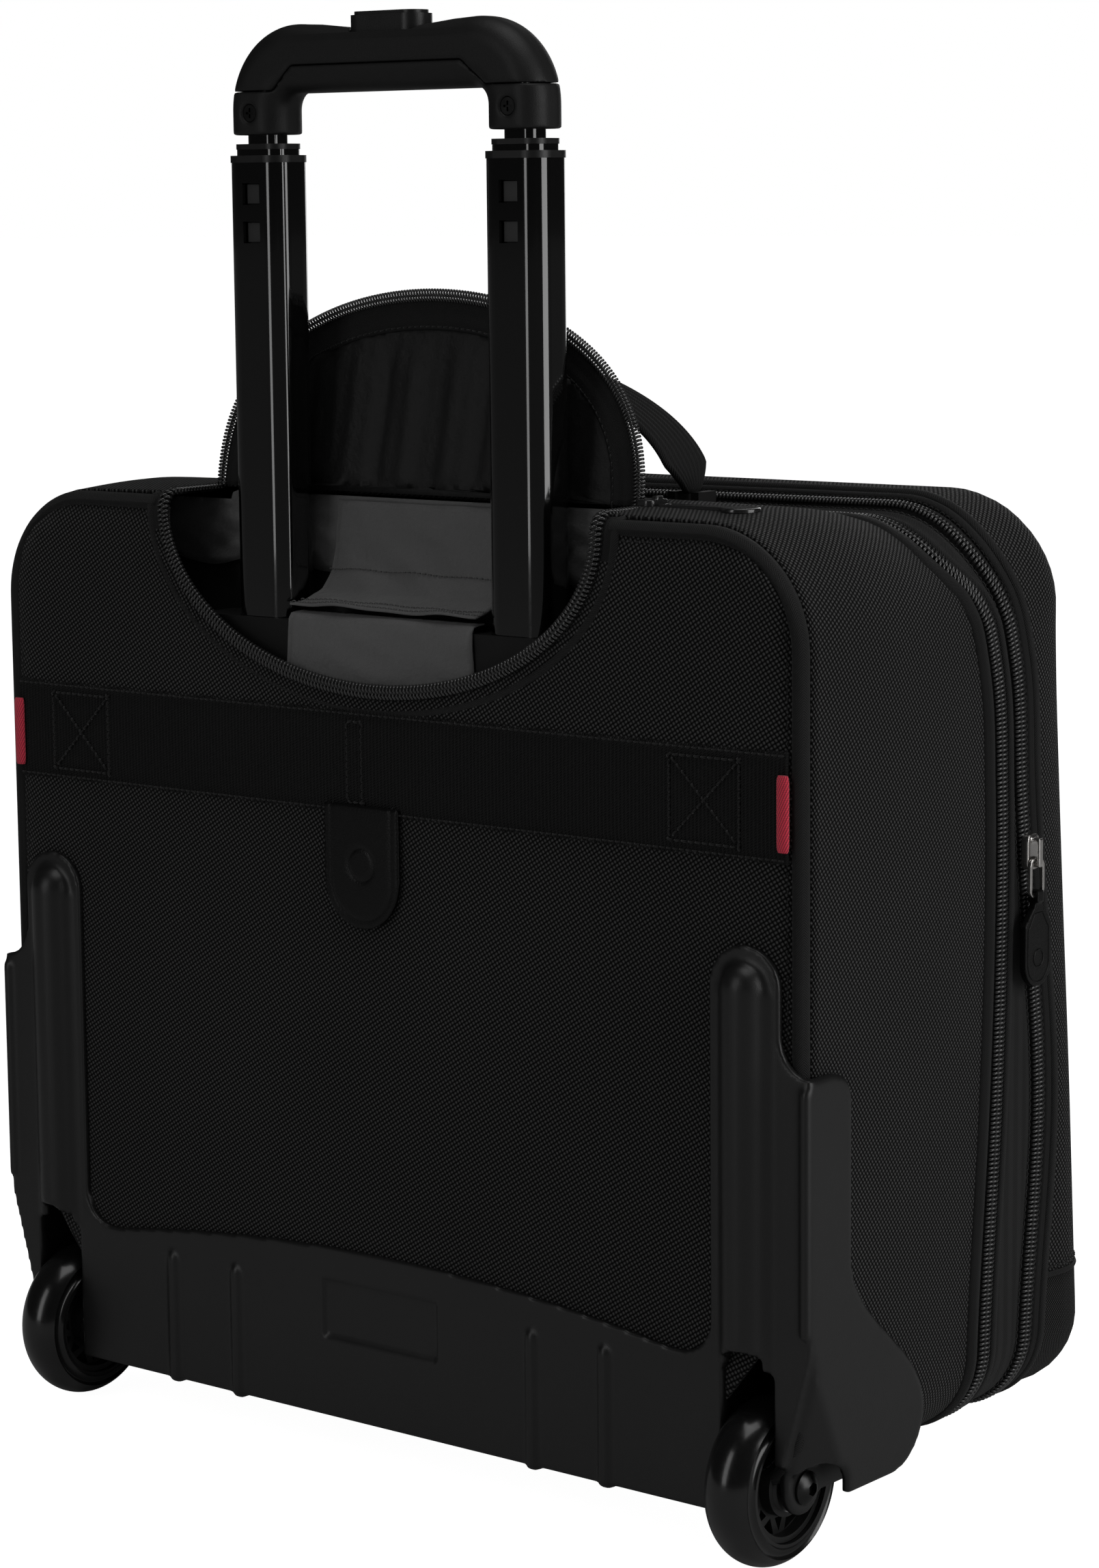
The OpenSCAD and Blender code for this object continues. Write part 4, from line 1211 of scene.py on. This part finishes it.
def flap_parts():
    """The flap's cloth, its folded lining, and the zip half round its edge."""
    outer = sheet_piece(
        "flap_cloth", resample(flap_edge(-1 * MM), 4 * MM), 7 * MM,
        lambda u, v: on_flap(u, v, -1.2 * MM - flap_bow(u, v)),
    )
    thicken(outer, 2.0 * MM, 0.0)
    dress(outer, CLOTH, "flap", ("flap",))
    lining = sheet_piece(
        "flap_lining_folds", resample(flap_edge(-9 * MM), 3 * MM), 3.2 * MM,
        lambda u, v: on_flap(u, v, 2.4 * MM + flap_folds(u, v)),
    )
    thicken(lining, 0.5 * MM)
    dress(lining, LINING_BLACK, "flap", ("flap_lining",))
    tape_line = along_flap(resample(flap_edge(-3.2 * MM), 2.5 * MM), 3.6 * MM)
    tape = tube_piece("flap_zip_tape", tape_line, strap_profile(13 * MM, 0.9 * MM))
    dress(tape, TAPE, "flap")
    seam = along_flap(flap_edge(-8.4 * MM), 4.2 * MM)
    sew("flap_stitches", resample(seam, 1 * MM), body="flap")
    rim = along_flap(flap_edge(4.6 * MM), 3.0 * MM)
    coil = coil_zip("flap_zip_coil", resample(rim, 1 * MM), 1.5 * MM, 5.0 * MM, 1.8 * MM)
    dress(coil, COIL, "flap", ("flap_zip",))


def flap_hinge():
    """Cloth that turns up from the top of the case into the flap."""
    x = np.linspace(-FLAP_HALF + 4 * MM, FLAP_HALF - 4 * MM, 61)
    rows, uvs = [], []
    for t in np.linspace(0, 1, 13):
        flat = columns(x, HINGE_Y - 9 * MM * (1 - t), TOP + 1.5 * MM)
        up = on_flap(x, np.full_like(x, 9 * MM * t), -2.6 * MM)
        turned = smooth(0.25, 0.75, t)
        rows.append(flat * (1 - turned) + up * turned)
        uvs.append(columns(x, 18 * MM * t))
    piece = grid_piece("flap_hinge_cloth", np.array(rows), np.array(uvs), flip=True)
    thicken(piece, 1.0 * MM, 0.0)
    piece.data.materials.append(CLOTH)
    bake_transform(piece)


# ---- linings inside the opening ----

def trolley_lining():
    """Grey lining that hangs behind the tubes, with soft slanting creases and a loose hem."""
    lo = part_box("trolley_lining")[0]
    half, low, high = OPEN_HALF + 30 * MM, TOP - 29 * MM, TOP + 1 * MM
    step_in, tucked = OPEN_HALF - 9 * MM, TOP - 3 * MM
    right = [(half, low), (half, tucked), (step_in, tucked), (step_in, high)]
    left = [(-x, z) for x, z in reversed(right)]
    outline = resample(left[-1:] + right + left[:-1], 4 * MM, closed=True)

    def place(u, v):
        fade = np.clip((high - v) / (14 * MM), 0, 1)
        slant = u * 0.5 + v + 2 * MM * np.sin(u * 40)
        crease = np.abs(np.sin(slant * math.pi / (15 * MM))) ** 0.7
        crease = crease + 0.35 * np.sin((v - 0.4 * u) * 2 * math.pi / (9 * MM) + 1)
        y = lo.y + 0.4 * MM + 1.6 * MM * fade * crease * smooth(44 * MM, 58 * MM, np.abs(u))
        near_hem = np.clip((low + 12 * MM - v) / (12 * MM), 0, 1)
        return columns(u, y, v + 3 * MM * np.sin(u * 2 * math.pi / (70 * MM)) * near_hem)

    piece = sheet_piece("trolley_lining_satin", outline, 3 * MM, place)
    thicken(piece, 0.5 * MM)
    dress(piece, LINING_GREY, replaces=("trolley_lining",))


def creased_panel(name, line, half_start, half_end, thickness, loose=1.0):
    """A panel of grey lining along a line of (y, z) points, with its rows of points."""
    line = resample(line, 2.5 * MM)
    run = run_length(line)
    cols = np.linspace(-1, 1, 33)
    rows, uvs = [], []
    for k, (y, z) in enumerate(line):
        t = k / (len(line) - 1)
        x = cols * (half_start + (half_end - half_start) * t)
        crease = np.sin(x * 90 + t * 9) * np.sin(t * 11 + x * 35) + 0.5 * np.sin(x * 210 + 15 * t)
        crease = crease + 0.8 * np.abs(np.sin(x * 55 - t * 6)) ** 3
        slack = 0.8 * MM * (1 - 0.5 * np.abs(cols) ** 4) * loose * min(1, 0.2 + 1.6 * t)
        lift = crease * slack
        rows.append(columns(x, y + lift, z + lift * 0.8))
        uvs.append(columns(x, run[k]))
    piece = grid_piece(name, np.array(rows), np.array(uvs))
    thicken(piece, thickness, 0.0)
    return dress(piece, LINING_GREY), rows


def lining_strap():
    """Grey panel sewn to the lining: it comes forward over the bracket, folds back under
    itself, and hangs down behind the edge of the opening."""
    lo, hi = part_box("lining_strap")
    wall_y, fold_y = lo.y - 0.1 * MM, hi.y + 2.5 * MM
    lip_z = lo.z + 6.2 * MM
    upper = [
        (wall_y, TOP - 1 * MM), (wall_y + 0.2 * MM, lip_z + 24 * MM),
        (wall_y + 2.5 * MM, lip_z + 12 * MM), (wall_y + 8 * MM, lip_z + 4 * MM),
        (wall_y + 16 * MM, lip_z + 1.2 * MM), (fold_y, lip_z),
    ]
    piece, rows = creased_panel("lining_strap_upper", upper, 46 * MM, 51 * MM, 0.8 * MM)
    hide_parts("lining_strap")
    hang_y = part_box("top_bracket")[1].y + 1.2 * MM
    lower = [
        (hang_y - 9 * MM, lip_z - 3.2 * MM), (hang_y - 2 * MM, lip_z - 3.6 * MM),
        (hang_y - 0.4 * MM, lip_z - 6 * MM), (hang_y, lip_z - 11 * MM), (hang_y, OPEN_LOW - 3 * MM),
    ]
    creased_panel("lining_strap_lower", lower, 50 * MM, 52 * MM, 0.6 * MM, 0.4)
    flat, steep = (0, 0.3, 1), (0, 0.8, 0.6)
    seams = (("lip", -2, flat), ("lip_inner", -4, flat), ("crease", len(rows) // 2, steep))
    for name, row, out in seams:
        line = resample(facing(rows[row] + 0.9 * MM * np.array(out), out), 1 * MM)
        sew(f"lining_strap_{name}_stitches", line, 2.8 * MM, 2.0 * MM, 0.25 * MM,
            LINING_GREY)


# ---- carry handle ----

def carry_handle():
    """Webbing handle standing as a low arch, drawn in where it is sewn to its loops."""
    lo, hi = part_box("carry_handle")
    half = (hi.x - lo.x) / 2 - 2 * MM
    middle_y = (lo.y + hi.y) / 2
    turn = arc(0, 180, 91)
    x = half * np.sign(np.cos(turn)) * np.abs(np.cos(turn)) ** 1.25
    z = lo.z + 1 * MM + (hi.z - lo.z - 4 * MM) * np.sin(turn)
    line = resample(columns(x, middle_y, z), 2 * MM)
    out = frames_along(line, TO_BACK)[1]
    out = out * np.sign(out[len(out) // 2, 2])
    width = 28 * MM
    narrowed = np.minimum(1, (6 * MM + 1.7 * (line[:, 2] - lo.z)) / width)

    def draw_in(rings):
        rings[:, :, 1] = middle_y + (rings[:, :, 1] - middle_y) * narrowed[:, None]
        return rings

    profile = strap_profile(width, 3.6 * MM, 9, 0.25 * MM)
    piece = tube_piece("carry_handle_webbing", facing(line, out), profile, shape=draw_in)
    dress(piece, WEBBING, "carry_handle", ("carry_handle",))


# ---- front pocket and inside pieces ----

def front_pocket():
    """Soft pocket on the leaning front, with a corded edge."""
    lo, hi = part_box("front_pocket")
    corner_r = 20 * MM
    middle, reach = (0.0, (lo.z + hi.z) / 2), (hi.x, (hi.z - lo.z) / 2)
    corners = np.array(rounded_corners(hi.x, lo.z, hi.z, corner_r, corner_r, 8))
    edge = resample(corners[:, :2], 6 * MM, closed=True)

    def place(u, v):
        fullness = 5.0 * MM * cushion(u, v, middle, reach) ** 0.45
        return columns(u, front_plane(v) - 0.8 * MM - fullness + 0.5 * MM * wobble(u, v), v)

    piece = sheet_piece("front_pocket_cloth", edge, 8 * MM, place)
    thicken(piece, CLOTH_THICK)
    dress(piece, CLOTH, replaces=("front_pocket",))
    line = place(edge[:, 0], edge[:, 1])
    line[:, 1] -= 0.4 * MM
    profile = round_profile(2.0 * MM, 10)
    cord = tube_piece("front_pocket_cord", facing(line, TO_FRONT), profile, closed=True)
    dress(cord, CORD)


def pocket_zip():
    """Coil zip across the top of the pocket, between two rolled folds."""
    lo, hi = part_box("pocket_zip")
    middle_z = (lo.z + hi.z) / 2
    rows = columns(np.linspace(lo.x, hi.x, 80), front_plane(middle_z) - 1.4 * MM, middle_z)
    profile = strap_profile(14 * MM, 1.0 * MM)
    tape = tube_piece("pocket_zip_tape", facing(rows, TO_FRONT), profile)
    dress(tape, TAPE)
    coil_rows = facing(rows + 0.5 * MM * np.array(TO_FRONT), TO_FRONT)
    coil = coil_zip("pocket_zip_coil", coil_rows, 1.7 * MM, 6.5 * MM, 1.8 * MM)
    dress(coil, COIL, replaces=("pocket_zip",))
    for k, shift in enumerate((-8 * MM, 8 * MM)):
        fold_rows = facing(rows + np.array([0, -0.2 * MM, shift]), TO_FRONT)
        fold = tube_piece(f"pocket_zip_fold_{k}", fold_rows, round_profile(2.2 * MM, 10, 0.7))
        dress(fold, CORD)


def laptop_divider():
    """Padded wall with a bound edge."""
    lo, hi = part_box("laptop_divider")
    corner_r = 25 * MM
    corners = np.array(rounded_corners(hi.x, lo.z, hi.z, corner_r, corner_r, 8))
    edge = resample(corners[:, :2], 9 * MM, closed=True)
    middle_y = (lo.y + hi.y) / 2
    piece = sheet_piece("laptop_divider_padded", edge, 14 * MM,
                        lambda u, v: columns(u, middle_y + 0.6 * MM * wobble(u, v), v))
    thicken(piece, 3.2 * MM, 0.0)
    dress(piece, LINING_GREY, replaces=("laptop_divider",))
    rows = facing(columns(edge[:, 0], middle_y, edge[:, 1]), TO_BACK)
    cord = tube_piece("laptop_divider_binding", rows, round_profile(2.2 * MM, 10), closed=True)
    dress(cord, LINING_BLACK)


# ---- pullers and sliders ----

def pullers():
    """Sliders and pullers with the edges of castings and leather."""
    for node, body, material, slot, voxel in (
        ("flap_slider", "case", DARK_METAL, "zip_black_metal", 0.45 * MM),
        ("flap_puller", "flap_puller", DARK_METAL, "zip_black_metal", 0.45 * MM),
        ("front_slider", "front_slider", NICKEL, "nickel", 0.4 * MM),
        ("front_puller_ring", "front_puller", NICKEL, "nickel", 0.3 * MM),
        ("main_slider", "main_slider", NICKEL, "nickel", 0.4 * MM),
        ("main_puller", "main_puller", NICKEL, "nickel", 0.35 * MM),
        ("front_puller", "front_puller", LEATHER, "leather_black", 0.4 * MM),
    ):
        piece = softened(node, node + "_cast", voxel, 3, 0.5)
        dress(piece, material, body, (node,))


def puller_marks():
    """The raised border and plain ring on the leather puller's outer face."""
    lo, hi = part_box("front_puller")
    middle_y, r = (lo.y + hi.y) / 2, (hi.y - lo.y) / 2 - 2 * MM
    centre_z = lo.z + 10 * MM
    bowl = [(middle_y + r * math.cos(a), centre_z + r * math.sin(a)) for a in arc(180, 360, 25)]
    shoulder_z, tip_z, tip = centre_z + 14 * MM, centre_z + 21 * MM, 3 * MM
    bowl += [(middle_y + r, shoulder_z), (middle_y + tip, tip_z),
             (middle_y - tip, tip_z), (middle_y - r, shoulder_z)]
    face_x = (lo.x + hi.x) / 2 - 1.45 * MM
    border = resample([(face_x, y, z) for y, z in bowl], 0.8 * MM, closed=True)
    turn = np.radians(np.arange(0, 360, 12))
    ring_r, ring_z = 3.6 * MM, centre_z + 2 * MM
    ring = columns(face_x, middle_y + ring_r * np.cos(turn), ring_z + ring_r * np.sin(turn))
    marks = (("front_puller_border", border, 0.35 * MM), ("front_puller_ring_mark", ring, 0.4 * MM))
    for name, line, radius in marks:
        mark = tube_piece(name, facing(line, (-1, 0, 0)), round_profile(radius, 6), closed=True)
        dress(mark, LEATHER, "front_puller")


def button_springs():
    """Two small coil springs that ride with the grip."""
    lo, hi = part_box("button_springs")
    middle_y, wire, coils = (lo.y + hi.y) / 2, 0.5 * MM, 4
    coil_r = (hi.y - lo.y) / 2 - wire
    share = np.linspace(0, 1, 97)
    turn = share * 2 * math.pi * coils
    for side in (-1, 1):
        x = side * (hi.x - coil_r - wire) + coil_r * np.cos(turn)
        z = lo.z + wire + (hi.z - lo.z - 2 * wire) * share
        line = columns(x, middle_y + coil_r * np.sin(turn), z)
        rows = facing(line, columns(np.cos(turn), np.sin(turn), 0))
        piece = tube_piece(f"button_spring_{side + 1}", rows, round_profile(wire, 8))
        dress(piece, STEEL, "grip", ("button_springs",))
        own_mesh(piece)


# ---- finishes of the CAD parts that stay ----

def paint_cad():
    """Finishes for the CAD parts that stay as they are."""
    finishes = (
        (PAINT, ("stage_1_tubes", "stage_2_tubes", "stage_3_tubes")),
        (PLASTIC, ("stage_1_collars", "stage_2_collars", "release_button", "handle_anchors", "front_feet")),
        (HOUSING, ("handle_channels", "top_bracket", "bottom_bracket", "push_bar")),
        (HOUSING, ("stage_2_glides", "stage_3_glides")),
        (BLOCKS, ("lock_blocks",)),
        (BOARD, ("frame_board", "base_board")),
        (STEEL, ("push_rods", "bearings_left", "bearings_right", "axle_nuts")),
        (DARK_STEEL, ("grip_screws", "axle_bolts")),
        (TREAD, ("tyre_left", "tyre_right")),
        (HUB_PLASTIC, ("hub_left", "hub_right")),
    )
    for material, nodes in finishes:
        for node in nodes:
            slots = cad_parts[node].data.materials
            slots.clear()
            slots.append(material)


flap_parts()
flap_hinge()
trolley_lining()
lining_strap()
carry_handle()
front_pocket()
pocket_zip()
laptop_divider()
pullers()
puller_marks()
button_springs()
paint_cad()


# ---- stage, light and camera ----

CASE_MIDDLE = Vector((0, 0, 0.32))
FLOOR_GLOW = 0.97               # what the camera sees of the floor, so that it meets the backdrop
MIRROR_LIGHT = 0.02             # the backdrop's strength in reflections
MATT_LIGHT = 0.1                # what the backdrop adds to the light on matt surfaces


def floor():
    """A plain pale floor that fades into the backdrop."""
    half = 40.0
    mesh = bpy.data.meshes.new("floor")
    corners = [(-half, -half, 0), (half, -half, 0), (half, half, 0), (-half, half, 0)]
    mesh.from_pydata(corners, [], [(0, 1, 2, 3)])
    pale = Nodes("pale_floor")
    seen = pale.add("ShaderNodeLightPath").outputs["Is Camera Ray"]
    pale.put(pale.shader.inputs["Emission Color"], (1, 1, 1, 1))
    pale.put(pale.shader.inputs["Emission Strength"], pale.times(seen, FLOOR_GLOW))
    mesh.materials.append(pale.finish((*grey(0.5), 1), 0.9, specular=0.0))
    link("floor", mesh)


def soft_box(name, place, width, height, power):
    """A rectangular studio light at a place, turned towards the middle of the case."""
    light = bpy.data.lights.new(name, "AREA")
    light.shape = "RECTANGLE"
    light.size, light.size_y = width, height
    light.energy = power
    box = link(name, light)
    box.location = place
    box.rotation_euler = (CASE_MIDDLE - Vector(place)).to_track_quat("-Z", "Y").to_euler()


def studio():
    """A white backdrop that hardly lights the case, and four soft boxes that do."""
    world = bpy.data.worlds.new("studio")
    world.use_nodes = True
    tree = world.node_tree
    backdrop = tree.nodes["Background"]
    backdrop.inputs["Color"].default_value = (1, 1, 1, 1)
    seen = tree.nodes.new("ShaderNodeLightPath")
    in_mirror = tree.nodes.new("ShaderNodeMapRange")
    in_mirror.inputs["To Min"].default_value = MIRROR_LIGHT
    in_mirror.inputs["To Max"].default_value = 1.0
    tree.links.new(seen.outputs["Is Camera Ray"], in_mirror.inputs["Value"])
    level = tree.nodes.new("ShaderNodeMath")
    level.operation = "MULTIPLY_ADD"
    level.inputs[1].default_value = MATT_LIGHT
    tree.links.new(seen.outputs["Is Diffuse Ray"], level.inputs[0])
    tree.links.new(in_mirror.outputs["Result"], level.inputs[2])
    tree.links.new(level.outputs[0], backdrop.inputs["Strength"])
    bpy.context.scene.world = world
    bpy.context.scene.view_settings.view_transform = "Standard"
    soft_box("side_box", (-2.4, -0.2, 0.9), 1.5, 2.0, 24)
    soft_box("back_box", (0.6, 2.5, 1.1), 0.7, 2.0, 8)
    soft_box("front_box", (0.8, -2.4, 1.0), 1.2, 1.6, 7)
    soft_box("top_box", (-0.3, 0.2, 2.6), 1.6, 1.6, 14)


def photo_camera():
    """The camera stands behind the case, to its right, a little above the middle."""
    place = Vector((-1.0823, 1.3239, 0.5427))
    forward = Vector((0.6221, -0.7686, -0.1489)).normalized()
    roll = math.radians(-0.577)
    right = forward.cross(Vector((0, 0, 1))).normalized()
    up = right.cross(forward)
    turned_right = right * math.cos(roll) + up * math.sin(roll)
    turned_up = up * math.cos(roll) - right * math.sin(roll)
    lens = bpy.data.cameras.new("photo_camera")
    lens.sensor_width = 36
    lens.lens = 90.75
    lens.shift_x = 0.0014
    lens.shift_y = 0.0042
    camera = link("photo_camera", lens)
    axes = Matrix((turned_right, turned_up, -forward)).transposed()
    camera.matrix_world = Matrix.Translation(place) @ axes.to_4x4()
    bpy.context.scene.camera = camera


floor()
studio()
photo_camera()
